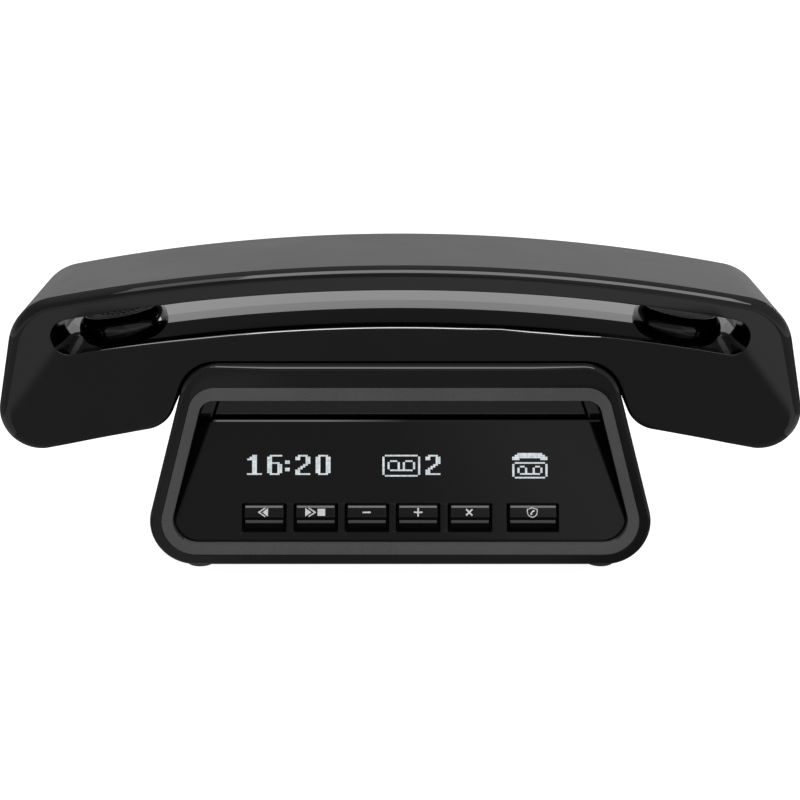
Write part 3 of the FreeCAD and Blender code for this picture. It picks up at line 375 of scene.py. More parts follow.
def tool_box(lo, hi, place=None, r=0.0, n=5):
    """A closed box along Z with rounded upright edges."""
    def f(bm):
        x0, y0, z0 = lo
        x1, y1, z1 = hi
        pts = rrect((x0 + x1) / 2, (y0 + y1) / 2, x1 - x0, y1 - y0, r, n) if r > 0 else \
            [(x0, y0), (x1, y0), (x1, y1), (x0, y1)]
        a = [Vector((p[0], p[1], z0)) for p in pts]
        b = [Vector((p[0], p[1], z1)) for p in pts]
        if place is not None:
            a = [place @ v for v in a]
            b = [place @ v for v in b]
        ra, rb = loft(bm, [a, b])
        bm.faces.new(ra)
        bm.faces.new(rb)
    return f


def tool_cylinder(r, z0, z1, place, n=40):
    def f(bm):
        a = [place @ Vector((r * math.cos(2 * math.pi * i / n), r * math.sin(2 * math.pi * i / n), z0)) for i in range(n)]
        b = [place @ Vector((r * math.cos(2 * math.pi * i / n), r * math.sin(2 * math.pi * i / n), z1)) for i in range(n)]
        ra, rb = loft(bm, [a, b])
        bm.faces.new(ra)
        bm.faces.new(rb)
    return f


def rrect(cx, cy, w, h, r, n=5):
    """Rounded rectangle, anticlockwise."""
    pts = []
    for sx, sy, a0 in ((1, -1, -90), (1, 1, 0), (-1, 1, 90), (-1, -1, 180)):
        ox, oy = cx + sx * (w / 2 - r), cy + sy * (h / 2 - r)
        for i in range(n + 1):
            a = math.radians(a0 + 90 * i / n)
            pts.append((ox + r * math.cos(a), oy + r * math.sin(a)))
    return pts


def radial(angle, radius, y=0.0):
    a = math.radians(angle)
    return Matrix.Translation((radius * math.sin(a), y, ZC + radius * math.cos(a))) @ Matrix.Rotation(a, 4, "Y")


def turned(profile, n=96, place=None):
    """Closed solid of revolution about Z from an open profile that starts and ends on the axis."""
    bm = bmesh.new()
    loops = [p for p in profile if p[0] > 1e-6]
    rings = loft(bm, [[Vector((r * math.cos(2 * math.pi * i / n), r * math.sin(2 * math.pi * i / n), z)) for i in range(n)]
                      for r, z in loops])
    for r, p in ((rings[0], profile[0]), (rings[-1], profile[-1])):
        c = bm.verts.new((0, 0, p[1]))
        for i in range(n):
            bm.faces.new((r[i], r[(i + 1) % n], c))
    if place is not None:
        bmesh.ops.transform(bm, matrix=place, verts=bm.verts[:])
    return bm


# ------------------------------------------------------------------ materials
MATS = {}


def new_material(slot):
    m = bpy.data.materials.new("m_" + slot)
    m.use_nodes = True
    nt = m.node_tree
    for n in list(nt.nodes):
        nt.nodes.remove(n)
    out = nt.nodes.new("ShaderNodeOutputMaterial")
    bsdf = nt.nodes.new("ShaderNodeBsdfPrincipled")
    nt.links.new(bsdf.outputs["BSDF"], out.inputs["Surface"])
    MATS[slot] = m
    return m, nt, bsdf


def noise(nt, co, scale, detail=3.0, rough=0.55, dist=0.0):
    n = nt.nodes.new("ShaderNodeTexNoise")
    n.inputs["Scale"].default_value = scale
    n.inputs["Detail"].default_value = detail
    n.inputs["Roughness"].default_value = rough
    n.inputs["Distortion"].default_value = dist
    nt.links.new(co, n.inputs["Vector"])
    return n.outputs["Fac"]


def span(nt, fac, lo, hi, a=0.3, b=0.7):
    r = nt.nodes.new("ShaderNodeMapRange")
    r.inputs["From Min"].default_value = a
    r.inputs["From Max"].default_value = b
    r.inputs["To Min"].default_value = lo
    r.inputs["To Max"].default_value = hi
    nt.links.new(fac, r.inputs["Value"])
    return r.outputs["Result"]


def two_tone(nt, fac, c0, c1, a=0.3, b=0.7):
    r = nt.nodes.new("ShaderNodeValToRGB")
    r.color_ramp.elements[0].position = a
    r.color_ramp.elements[0].color = (*c0, 1)
    r.color_ramp.elements[1].position = b
    r.color_ramp.elements[1].color = (*c1, 1)
    nt.links.new(fac, r.inputs["Fac"])
    return r.outputs["Color"]


def bump(nt, bsdf, height, dist, strength=1.0, prev=None):
    b = nt.nodes.new("ShaderNodeBump")
    b.inputs["Strength"].default_value = strength
    b.inputs["Distance"].default_value = dist
    nt.links.new(height, b.inputs["Height"])
    if prev is not None:
        nt.links.new(prev, b.inputs["Normal"])
    nt.links.new(b.outputs["Normal"], bsdf.inputs["Normal"])
    return b.outputs["Normal"]


def plastic(slot, c0, c1, rough, spread, ior=1.5, grain=None, wave=None, coat=0.0, metallic=0.0, cloud=45.0, spec=0.5):
    """Moulded or painted finish: slight shade drift, patchy gloss, fine grain and a slow flow wave in the surface."""
    m, nt, bsdf = new_material(slot)
    co = nt.nodes.new("ShaderNodeTexCoord").outputs["Object"]
    bsdf.inputs["IOR"].default_value = ior
    bsdf.inputs["Metallic"].default_value = metallic
    bsdf.inputs["Specular IOR Level"].default_value = spec
    big = noise(nt, co, cloud, 4.0, 0.6)
    fine = noise(nt, co, cloud * 40, 2.0, 0.6)
    nt.links.new(two_tone(nt, big, c0, c1), bsdf.inputs["Base Color"])
    mixr = nt.nodes.new("ShaderNodeMath")
    mixr.operation = "MULTIPLY_ADD"
    nt.links.new(fine, mixr.inputs[0])
    mixr.inputs[1].default_value = 0.35
    nt.links.new(big, mixr.inputs[2])
    nt.links.new(span(nt, mixr.outputs[0], rough - spread, rough + spread, 0.45, 0.95), bsdf.inputs["Roughness"])
    if coat:
        bsdf.inputs["Coat Weight"].default_value = coat
        bsdf.inputs["Coat Roughness"].default_value = 0.05
    last = None
    if wave:
        last = bump(nt, bsdf, noise(nt, co, wave[0], 1.0, 0.4), wave[1])
    if grain:
        last = bump(nt, bsdf, noise(nt, co, grain[0], 3.0, 0.65), grain[1], prev=last)
    return m, nt, bsdf, co


plastic("gloss_black", (0.0010, 0.0010, 0.0011), (0.0018, 0.0018, 0.0019), 0.036, 0.010, wave=(110.0, 0.0000010),
        grain=(2600.0, 0.0000003))
plastic("satin_black", (0.0190, 0.0190, 0.0192), (0.0250, 0.0250, 0.0252), 0.40, 0.03, grain=(5200.0, 0.000006))
plastic("bezel_satin", (0.050, 0.050, 0.0505), (0.060, 0.060, 0.0605), 0.28, 0.03, grain=(6000.0, 0.000004),
        metallic=0.0)
plastic("panel_gloss", (0.0010, 0.0010, 0.0012), (0.0016, 0.0016, 0.0018), 0.050, 0.016, wave=(90.0, 0.0000006),
        grain=(3000.0, 0.0000003))
plastic("gloss_lip", (0.0012, 0.0012, 0.0013), (0.0020, 0.0020, 0.0021), 0.035, 0.010, ior=3.1, grain=(2600.0, 0.0000003))
plastic("cap_gloss", (0.0012, 0.0012, 0.0013), (0.0020, 0.0020, 0.0021), 0.06, 0.015, ior=1.85, grain=(2600.0, 0.0000004))
# painted highlight: the facet along the window's top edge glows grey, strong on the left and fading to nothing towards
# the right, in place of a highlight from a lamp
m, nt, bsdf, co = plastic("window_edge_painted_highlight", (0.0010, 0.0010, 0.0012), (0.0016, 0.0016, 0.0018), 0.08, 0.02, grain=(3000.0, 0.0000003))
sx = nt.nodes.new("ShaderNodeSeparateXYZ")
nt.links.new(co, sx.inputs[0])
painted_edge_highlight = nt.nodes.new("ShaderNodeValToRGB")
painted_edge_highlight.color_ramp.elements[0].position = 0.072
painted_edge_highlight.color_ramp.elements[0].color = (0.0, 0.0, 0.0, 1)
painted_edge_highlight.color_ramp.elements[1].position = 0.517
painted_edge_highlight.color_ramp.elements[1].color = (0.016, 0.016, 0.0165, 1)
for at in (0.082, 0.332):
    painted_edge_highlight.color_ramp.elements.new(at).color = (0.135, 0.135, 0.137, 1)
nt.links.new(span(nt, sx.outputs["X"], 0.0, 1.0, -0.062, 0.062), painted_edge_highlight.inputs["Fac"])
nt.links.new(painted_edge_highlight.outputs["Color"], bsdf.inputs["Emission Color"])
bsdf.inputs["Emission Strength"].default_value = 1.0
# painted highlight: the lower inner edge of the ring is given a faint white glow
m, nt, bsdf, co = plastic("bezel_lip_painted_glow", (0.050, 0.050, 0.0505), (0.060, 0.060, 0.0605), 0.34, 0.03, grain=(6000.0, 0.000004))
bsdf.inputs["Emission Color"].default_value = (1, 1, 1, 1)
bsdf.inputs["Emission Strength"].default_value = 0.030
# painted light: the deck behind the panel glows faintly grey, standing in for light reaching into the recess
plastic("shelf_satin_painted_glow", (0.060, 0.060, 0.061), (0.078, 0.078, 0.079), 0.44, 0.04, grain=(5200.0, 0.000005))
m_, nt_, bsdf_, co_ = MATS["shelf_satin_painted_glow"], MATS["shelf_satin_painted_glow"].node_tree, None, None
for n_ in nt_.nodes:
    if n_.type == "BSDF_PRINCIPLED":
        n_.inputs["Emission Color"].default_value = (1, 1, 1, 1)
        n_.inputs["Emission Strength"].default_value = 0.0165
# the same painted glow for the ledges beside the deck, with painted shade along their front edge, where base colour and
# glow drop almost to nothing
m, nt, bsdf, co = plastic("ledge_satin_painted_glow_and_shade", (0.060, 0.060, 0.061), (0.078, 0.078, 0.079), 0.44, 0.04, grain=(5200.0, 0.000005))
sx = nt.nodes.new("ShaderNodeSeparateXYZ")
nt.links.new(co, sx.inputs[0])
back = span(nt, sx.outputs["Y"], 0.02, 1.0, -0.00888, -0.00878)
painted_front_shade = nt.nodes.new("ShaderNodeVectorMath")
painted_front_shade.operation = "SCALE"
nt.links.new(bsdf.inputs["Base Color"].links[0].from_socket, painted_front_shade.inputs[0])
nt.links.new(back, painted_front_shade.inputs["Scale"])
nt.links.new(painted_front_shade.outputs[0], bsdf.inputs["Base Color"])
painted_glow_colour = nt.nodes.new("ShaderNodeCombineXYZ")
for k in range(3):
    nt.links.new(back, painted_glow_colour.inputs[k])
nt.links.new(painted_glow_colour.outputs[0], bsdf.inputs["Emission Color"])
bsdf.inputs["Emission Strength"].default_value = 0.0165
bsdf.inputs["Specular IOR Level"].default_value = 0.2
plastic("key_scoop", (0.0012, 0.0012, 0.0012), (0.0022, 0.0022, 0.0022), 0.85, 0.05, grain=(5200.0, 0.000008), spec=0.12)
plastic("key_step", (0.0012, 0.0012, 0.0012), (0.0022, 0.0022, 0.0022), 0.14, 0.03, grain=(5200.0, 0.000002), spec=0.17)
plastic("key_black", (0.0014, 0.0014, 0.0015), (0.0026, 0.0026, 0.0027), 0.10, 0.03, grain=(3600.0, 0.000001))
plastic("dial_key_black", (0.020, 0.020, 0.021), (0.028, 0.028, 0.029), 0.42, 0.05, grain=(5200.0, 0.000006))
plastic("grille_mesh", (0.003, 0.003, 0.003), (0.006, 0.006, 0.006), 0.34, 0.06, spec=0.14, grain=(4200.0, 0.000003))
plastic("rubber_black", (0.012, 0.012, 0.012), (0.022, 0.022, 0.022), 0.78, 0.08, grain=(2400.0, 0.00002))
plastic("component_dark", (0.020, 0.020, 0.022), (0.032, 0.032, 0.034), 0.50, 0.08, grain=(3800.0, 0.00001))
plastic("display_glass", (0.006, 0.008, 0.010), (0.010, 0.012, 0.014), 0.06, 0.02, grain=(2600.0, 0.0000004))
plastic("battery_wrap", (0.035, 0.070, 0.160), (0.055, 0.100, 0.220), 0.28, 0.06, wave=(300.0, 0.00003))

# plated pins and pads
m, nt, bsdf, co = plastic("gold_contact", (0.74, 0.54, 0.22), (0.86, 0.66, 0.32), 0.24, 0.07, metallic=1.0,
                          grain=(5000.0, 0.000003))
# screws and domes: turned steel with a fine random grain
m, nt, bsdf, co = plastic("steel", (0.34, 0.34, 0.35), (0.50, 0.50, 0.51), 0.30, 0.08, metallic=1.0,
                          grain=(4200.0, 0.000004))
# boards: solder resist over a faint grid of tracks
m, nt, bsdf = new_material("board_green")
co = nt.nodes.new("ShaderNodeTexCoord").outputs["Object"]
bsdf.inputs["IOR"].default_value = 1.5
wv = nt.nodes.new("ShaderNodeTexWave")
wv.wave_type = "BANDS"
wv.bands_direction = "X"
wv.inputs["Scale"].default_value = 260.0
wv.inputs["Distortion"].default_value = 3.0
wv.inputs["Detail"].default_value = 1.0
nt.links.new(co, wv.inputs["Vector"])
nt.links.new(two_tone(nt, wv.outputs["Fac"], (0.010, 0.070, 0.032), (0.022, 0.120, 0.060), 0.55, 0.62),
             bsdf.inputs["Base Color"])
nt.links.new(span(nt, noise(nt, co, 600.0), 0.30, 0.44), bsdf.inputs["Roughness"])
bump(nt, bsdf, wv.outputs["Fac"], 0.00002)

# lit display elements: bluish white with a little unevenness from pixel to pixel
m, nt, bsdf = new_material("display_light")
co = nt.nodes.new("ShaderNodeTexCoord").outputs["Object"]
lit = two_tone(nt, noise(nt, co, 900.0, 2.0), (0.50, 0.56, 0.60), (0.72, 0.78, 0.80), 0.35, 0.65)
nt.links.new(lit, bsdf.inputs["Emission Color"])
bsdf.inputs["Emission Strength"].default_value = 1.0
nt.links.new(two_tone(nt, noise(nt, co, 900.0, 2.0), (0.02, 0.02, 0.02), (0.04, 0.04, 0.04)), bsdf.inputs["Base Color"])
nt.links.new(span(nt, noise(nt, co, 1500.0), 0.25, 0.35), bsdf.inputs["Roughness"])

# printed marks: white, green and red ink, slightly raised and matt
def ink(slot, c0, c1):
    m, nt, bsdf = new_material(slot)
    co = nt.nodes.new("ShaderNodeTexCoord").outputs["Object"]
    n1 = noise(nt, co, 2600.0, 3.0)
    nt.links.new(two_tone(nt, n1, c0, c1), bsdf.inputs["Base Color"])
    nt.links.new(span(nt, n1, 0.42, 0.58), bsdf.inputs["Roughness"])
    bump(nt, bsdf, noise(nt, co, 7000.0), 0.000004)


ink("ink_white", (0.56, 0.56, 0.56), (0.68, 0.68, 0.68))
ink("ink_green", (0.03, 0.30, 0.07), (0.05, 0.42, 0.11))
ink("ink_red", (0.42, 0.03, 0.03), (0.56, 0.05, 0.04))

for name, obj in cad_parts.items():
    mesh = obj.data
    for i, old in enumerate(mesh.materials):
        key = old.name.split(".")[0] if old else None
        if key in MATS:
            mesh.materials[i] = MATS[{"shelf_side_ledges": "ledge_satin_painted_glow_and_shade", "recess_liner": "key_scoop"}.get(name, key)]


# ------------------------------------------------------------------ handset covers
M0 = handset_marks(0.0)
N_SHELL = counts(lower_run(M0) + upper_run(M0))
N_SLOT = counts(slot_outline(0.0))
N_LOW = counts(lower_run(M0))
N_UP = counts(upper_run(M0))


R_BACK = 2.8
HALF = [1.6, 0.6, 1.2, 0.5, 0.35]
RADII = HALF + [0.35] + HALF[::-1] + [2.8, 3.4, 3.4, 3.4, 3.4, 3.4, 2.8]
P0 = sample(lower_run(M0) + upper_run(M0), N_SHELL)
P1 = sample(lower_run(handset_marks(1.0)) + upper_run(handset_marks(1.0)), N_SHELL)
RAW = [r for r, n in zip(RADII, N_SHELL) for _ in range(n)]


def eased(pts, raw, width=7.0):
    """Average of the radius over a stretch of the outline, so that it changes gradually."""
    n = len(pts)
    lens = [math.dist(pts[i], pts[(i + 1) % n]) for i in range(n)]
    out = []
    for i in range(n):
        tot, wgt = raw[i], 1.0
        for d in (1, -1):
            j, s_ = i, 0.0
            while True:
                s_ += lens[j] if d > 0 else lens[(j - 1) % n]
                j = (j + d) % n
                if s_ > width:
                    break
                k = 1.0 - s_ / width
                tot += raw[j] * k
                wgt += k
        out.append(tot / wgt)
    return out


EASED = eased(P0, RAW)
EASED_B = eased(P0, [min(r, R_BACK) for r in RAW])
NORM = [(b[0] - a[0], b[1] - a[1]) for a, b in zip(P0, P1)]


SEAM = math.radians(40)         # slope at the edge of the gloss cover, where the satin band begins
BREAK = math.radians(56)


def edge_point(r, ang):
    """Depth below the outline and distance from the face of the rounding of size r: crisp at the seam, then full, then
    quicker into the face."""
    parts = ((0.0, SEAM, 0.07 * r), (SEAM, BREAK, 1.92 * r), (BREAK, math.pi / 2, 1.05 * r))
    w = y = tot = 0.0
    for a0, a1, rad in parts:
        a = min(max(ang, a0), a1)
        w += rad * (math.cos(a0) - math.cos(a))
        y += rad * (math.sin(a) - math.sin(a0))
        tot += rad * (math.sin(a1) - math.sin(a0))
    return w, tot - y


def round_row(ang, sgn, extra=0.0, dy=0.0):
    """Points of the outline on the edge rounding at this angle (0 top, 90 degrees face)."""
    out = []
    for p, n, r in zip(P0, NORM, EASED if sgn < 0 else EASED_B):
        w, back = edge_point(r, ang)
        w += extra
        out.append(Vector((p[0] + n[0] * w, sgn * (25.0 - back + dy), p[1] + n[1] * w)))
    return out


def slot_pts(g):
    return sample(slot_outline(g), N_SLOT)


def cover(name, sgn, node):
    """Gloss cover; sgn -1 in front, +1 behind."""
    bm = bmesh.new()
    first = math.radians(2.5)
    rows = [round_row(SEAM, sgn, 0.30, 0.02), round_row(SEAM, sgn, 0.14, 0.05)]
    rows += [round_row(SEAM + first + (math.pi / 2 - SEAM - first) * i / 14, sgn) for i in range(15)]
    rows.append([p + Vector((n[0] * 0.5, 0, n[1] * 0.5)) for p, n in zip(rows[-1], NORM)])
    outer = loft(bm, rows)
    lip = [(2.35, 25.0), (2.10, 25.0)]
    inner = loft(bm, [flat(slot_pts(g), sgn * y) for g, y in lip + [(2.10, 22.0)]])
    fill(bm, outer[-1], inner[0])
    fill(bm, outer[0], inner[-1])
    return make(name, bm, "handset", "gloss_black", (node,))


def lip_radius(i):
    n0, n1 = sum(N_SLOT[:2]), sum(N_SLOT[:3])
    if not n0 <= i <= n1:
        return 0.22
    x = slot_pts(0.0)[i % len(slot_pts(0.0))][0]
    stops = [(-90.0, 0.22), (-82.0, 0.30), (-75.0, 0.45), (-54.0, 0.85), (18.0, 0.85), (27.0, 0.45),
             (35.0, 0.80), (48.0, 0.85), (55.0, 0.30), (57.0, 0.22), (90.0, 0.22)]
    for (x0, r0), (x1, r1) in zip(stops, stops[1:]):
        if x <= x1:
            return r0 + (r1 - r0) * max(0.0, x - x0) / (x1 - x0)
    return 0.22


LIP_R = [lip_radius(i) for i in range(sum(N_SLOT))]


def lip_bead(name, sgn):
    """Lip round the slot's mouth: polished rounding between the liner and the cover."""
    bm = bmesh.new()
    outlines = {}

    def at(g):
        k = round(g, 4)
        if k not in outlines:
            outlines[k] = slot_pts(k)
        return outlines[k]
    sec = [(2.10, 0, 22.0, 0), (0.86, 0, 22.0, 0), (0.80, 0, 22.06, 0), (0.80, 0, 22.2, 0), (1.0, 0, 25.0, -1)]
    sec += [(1.0, 1 - math.cos(a), 25.0, -1 + math.sin(a)) for a in arc_steps(12)[1:]]
    sec += [(2.06, 0, 25.0, 0), (2.10, 0, 25.0, 0)]
    g0, g1 = at(1.0), at(2.0)
    loops = []
    for g, kg, y, ky in sec:
        o = at(g)
        row = []
        for i, r in enumerate(LIP_R):
            k = kg * r + (0.25 * (r - 0.22) / 0.63 if g == 1.0 else 0.0)
            row.append(Vector((o[i][0] + (g1[i][0] - g0[i][0]) * k, sgn * (y + ky * r), o[i][1] + (g1[i][1] - g0[i][1]) * k)))
        loops.append(row)
    loft(bm, loops, wrap=True)
    obj = make(name, bm, "handset", "gloss_black")
    obj.data.materials.append(MATS["gloss_lip"])
    n = len(LIP_R)
    for f in obj.data.polygons:
        k, i = divmod(f.index, n)
        if 8 <= k <= 12 and LIP_R[i] > 0.30:
            f.material_index = 1
    return obj


cover("front_cover", -1, "handset_front_cover")
cover("back_cover", 1, "handset_rear_cover")
lip_bead("front_lip", -1)
lip_bead("back_lip", 1)


def wall(name, first, last, slot, node, cut=None):
    """Band along the outline from one outline point to another, rounded over towards the covers at both sides."""
    rows = []
    for sgn in (-1, 1):
        half = [round_row(SEAM, sgn, 0.16, -0.02), round_row(SEAM, sgn, 0.05, -0.05)]
        half += [round_row(SEAM * k, sgn) for k in (0.94, 0.75, 0.5, 0.25, 0.0)]
        half += [[Vector((p[0], sgn * y, p[1])) for p in P0] for y in (14.0, 7.0)]
        rows += half + [[Vector((p[0], 0.0, p[1])) for p in P0]] if sgn < 0 else list(reversed(half))
    for sgn in (1, -1):
        rows.append([Vector((p[0] + n[0] * 2.4, sgn * 22.0, p[1] + n[1] * 2.4)) for p, n in zip(P0, NORM)])
    n = len(P0)
    idx = [i % n for i in range(first, last + 1)]
    bm = bmesh.new()
    rings = loft(bm, [[row[i] for i in idx] for row in rows], closed=False, wrap=True)
    bm.faces.new([r[0] for r in rings])
    bm.faces.new([r[-1] for r in rings])
    return make(name, bm, "handset", slot, (node,), cut=cut)


SPLIT = sum(N_LOW)
wall("top_band", SPLIT, sum(N_SHELL), "satin_black", "handset_top_band")

# underside housing with its openings
ROOF = 62.2
DIAL = []
for i, nm in enumerate(("1", "2", "3", "4", "5", "6", "7", "8", "9", "star", "0", "hash")):
    row, col = divmod(i, 3)
    DIAL.append(("dial_key_" + nm, 1.2 + row * 11.6, (1 - col) * 12.4))
for nm, col in (("talk_key", 0), ("menu_key", 1), ("end_key", 2)):
    DIAL.append((nm, 1.2 - 11.6 - 1.4, (1 - col) * 12.4))
tools = []
for nm, x, y in DIAL:
    tools.append(tool_box((x - 4.5, y - 5.1, ROOF - 1), (x + 4.5, y + 5.1, ROOF + 3), r=0.9))
tools.append(tool_box((-47.0, -15.5, ROOF - 1), (-19.5, 15.5, ROOF + 3), r=0.8))
for s in (-1, 1):
    tools.append(tool_box((44.0, s * 6.0 - 2.0, ROOF - 1), (48.0, s * 6.0 + 2.0, ROOF + 3), r=0.2))
ear = radial(-10.3, 472.0)
for k, (du, dv) in enumerate([(0, 0)] + [(3.2 * math.cos(math.radians(60 * j)), 3.2 * math.sin(math.radians(60 * j)))
                                         for j in range(6)]):
    tools.append(tool_cylinder(0.8, 0, 6, ear @ Matrix.Translation((du, dv, 0))))
tools.append(tool_cylinder(0.8, 0, 6, radial(8.7, 472.0)))
tools.append(tool_box((-9.0, -17.0, 0), (9.0, 17.0, 8.0), place=radial(10.9, 471.0), r=0.6))
shell = wall("keypad_shell", 0, SPLIT, "gloss_black", "keypad_housing", cut=tools)
shell.data.materials.append(MATS["key_scoop"])
for f in shell.data.polygons:    # the flanks of the two lobes that face the base are matt
    c = Vector(f.center) / MM
    if f.normal.x * c.x < 0 and abs(f.normal.x) > 0.35 and 52 < abs(c.x) < 75 and c.z < 60:
        f.material_index = 1

# slot tunnel
bm = bmesh.new()
section = [(0.92, -21.98), (0.84, -21.93), (0.80, -21.80), (0.53, -17.0), (0.25, -12.1), (0.02, -8.0), (0.0, -7.6), (0.0, -2.6),
           (0.0, 2.3), (0.02, 2.8), (0.34, 9.5), (0.64, 16.0), (0.90, 21.80), (0.94, 21.93), (1.02, 21.98), (2.2, 21.98),
           (2.2, -21.98)]
loft(bm, [flat(slot_pts(g), y) for g, y in section], wrap=True)
make("slot_tunnel", bm, "handset", "gloss_black", ("slot_liner",))


# ------------------------------------------------------------------ drums in the slot
def drum_profile():
    r0, r1, rise = 12.7, 10.75, 4.2
    pts = [(0, -2.2), (12.7, -2.2), (12.7, -0.02), (12.62, 0.12)]
    pts = [(0, -2.2), (12.7, -2.2), (12.7, -0.02), (12.68, 0.4), (12.62, 0.9), (12.52, 1.4), (12.38, 1.9), (12.18, 2.4),
           (11.92, 2.85), (11.62, 3.25), (11.28, 3.6), (10.95, 3.9)]
    pts += [(10.74, 4.06), (10.58, 4.15), (10.42, 4.2), (10.2, 4.2), (10.12, 4.14), (10.1, 4.0), (10.1, 3.2), (8.9, 3.2),
            (8.9, -1.0), (0, -1.0)]
    return pts


make("speaker_cup", turned(drum_profile(), 128), "handset", "gloss_black", ("speaker_drum",),
     place=radial(-9.08, 499.4), sharp=42)
make("mic_cup", turned(drum_profile(), 128), "handset", "gloss_black", ("mic_drum",), place=radial(9.08, 499.4), sharp=42)


def disc_outline(r, n=96):
    return [(r * math.cos(2 * math.pi * i / n), r * math.sin(2 * math.pi * i / n)) for i in range(n)]


def disc(bm, r, z0, z1, holes=(), hr=0.52, hn=14):
    """Disc with a bevelled rim and countersunk holes."""
    def lift(pts, z):
        return [Vector((p[0], p[1], z)) for p in pts]
    o = loft(bm, [lift(disc_outline(r - 0.12), z0), lift(disc_outline(r - 0.02), z0 + 0.1),
                  lift(disc_outline(r - 0.02), z1 - 0.2), lift(disc_outline(r - 0.06), z1 - 0.08),
                  lift(disc_outline(r - 0.18), z1)])
    tops, lows = [o[-1]], [o[0]]
    for hx, hy in holes:
        def c(rr, z):
            return [Vector((hx + rr * math.cos(2 * math.pi * i / hn), hy + rr * math.sin(2 * math.pi * i / hn), z))
                    for i in range(hn)]
        h = loft(bm, [c(hr + 0.08, z1), c(hr, z1 - 0.08), c(hr, z0)])
        tops.append(h[0])
        lows.append(h[-1])
    fill(bm, *tops)
    fill(bm, *lows)


HOLES = [(1.5 * k * math.cos(2 * math.pi * i / (6 * k)), 1.5 * k * math.sin(2 * math.pi * i / (6 * k)))
         for k in (1, 2, 3, 4) for i in range(6 * k)]
bm = bmesh.new()
disc(bm, 10.1, 3.2, 4.2, HOLES)
make("grille_disc", bm, "handset", "grille_mesh", ("speaker_grille",), place=radial(-9.08, 499.4))
bm = bmesh.new()
disc(bm, 10.1, 3.2, 4.2)
make("mic_disc", bm, "handset", "gloss_black", ("mic_drum_cap",), place=radial(9.08, 499.4), mat="cap_gloss")


# ------------------------------------------------------------------ base shell, bezel ring, rear cover
N_TRAP = [max(a, b) for a, b in zip(counts(base_outline(0.0), tol=0.003), counts(ring_out(), tol=0.003))]


def trap_pts(segs):
    return sample(segs, N_TRAP)


# the front edge is rounded 2.4 along the top and less along the sides and the foot
B0 = trap_pts(base_outline(0.0))
B1 = trap_pts(base_outline(1.0))
RAW_B = [r for r, n in zip((1.1, 1.1, 1.1, 1.6, 2.4, 1.6, 1.1, 1.1), N_TRAP) for _ in range(n)]
BASE_R = eased(B0, RAW_B, 8.0)
bm = bmesh.new()
loops = [flat(trap_pts(ring_out(0.0)), -24.6), flat(trap_pts(ring_out(0.0)), -26.86), flat(trap_pts(ring_out(0.04)), -26.95),
         flat(trap_pts(ring_out(0.14)), -27.0), flat(trap_pts(base_outline(2.9)), -27.0)]
TURN = math.radians(70)
for a in reversed([TURN * i / 16 for i in range(17)] + [TURN + (math.pi / 2 - TURN) * i / 5 for i in range(1, 6)]):
    row = []
    for p, q, r in zip(B0, B1, BASE_R):
        r2 = min(r, 0.5)
        k = min(a, TURN)
        w = r * (1 - math.cos(k)) + (r2 * (math.cos(TURN) - math.cos(a)) if a > TURN else 0.0)
        y = r * math.sin(k) + (r2 * (math.sin(a) - math.sin(TURN)) if a > TURN else 0.0)
        tot = r * math.sin(TURN) + r2 * (1 - math.sin(TURN))
        row.append(Vector((p[0] + (q[0] - p[0]) * w, -27.0 + tot - y, p[1] + (q[1] - p[1]) * w)))
    loops.append(row)
loops += [flat(trap_pts(base_outline(0.0)), y) for y in (-24.2, -12.0, 0.0, 12.0, 24.38)]
loops += [flat(trap_pts(base_outline(0.08)), 24.54), flat(trap_pts(base_outline(0.22)), 24.6),
          flat(trap_pts(base_outline(2.5)), 24.6), flat(trap_pts(base_outline(2.5)), -24.6)]
loft(bm, loops, wrap=True)
tools = [tool_cylinder(1.3, 55, 65, Matrix.Translation((46.0, s * 6.0, 0.0))) for s in (-1, 1)]
for i in range(6):
    tools.append(tool_box((-9.0, i * 3.2, 1.0), (9.0, i * 3.2 + 1.4, 8.0), r=0.65))
make("base_body", bm, "base", "gloss_black", ("base_shell",), cut=tools)

bm = bmesh.new()
loops = []
for seg, g, y in ((ring_out, -0.16, -24.6), (ring_out, -0.03, -24.7), (ring_out, -0.03, -26.82), (ring_out, -0.08, -26.93),
                  (ring_out, -0.22, -27.0), (ring_in, 0.22, -26.58), (ring_in, 0.08, -26.52), (ring_in, 0.01, -26.40),
                  (ring_in, 0.0, -26.2), (ring_in, 0.0, -24.6)):
    loops.append(flat(trap_pts(seg(g)), y))
loft(bm, loops, wrap=True)
trim = make("bezel_trim", bm, "base", "bezel_satin", ("bezel_ring",))
trim.data.materials.append(MATS["bezel_lip_painted_glow"])
for f in trim.data.polygons:    # the lower inner edge of the ring, just under the window, which gets the painted glow
    c = Vector(f.center) / MM
    if f.normal.z > 0.6 and 9.0 < c.z < 11.0:
        f.material_index = 1

bm = bmesh.new()
prof = [(0.22, 24.6), (0.08, 24.66), (0.0, 24.82), (0.0, 25.0)]
prof += [(2.0 * (1 - math.cos(a)), 25.0 + 2.0 * math.sin(a)) for a in arc_steps(10)] + [(2.6, 27.0)]
rings = loft(bm, [flat(trap_pts(base_outline(w)), y) for w, y in prof])
bm.faces.new(rings[0])
bm.faces.new(rings[-1])
RB = Matrix.Rotation(math.radians(-90), 4, "X")   # tool Z -> +Y, tool Y -> -Z
tools = [tool_box((-37.54, -36.74, 20), (-22.46, -23.66, 30), place=RB, r=0.3),
         tool_box((25.46, -35.14, 20), (34.54, -24.06, 30), place=RB, r=0.3)]
for x, z in ((-61.5, 11.5), (61.5, 11.5), (-46.0, 55.5), (46.0, 55.5)):
    tools.append(tool_cylinder(2.75, 25.6, 30, RB @ Matrix.Translation((x, -z, 0))))
make("back_panel", bm, "base", "satin_black", ("base_rear_cover",), cut=tools)


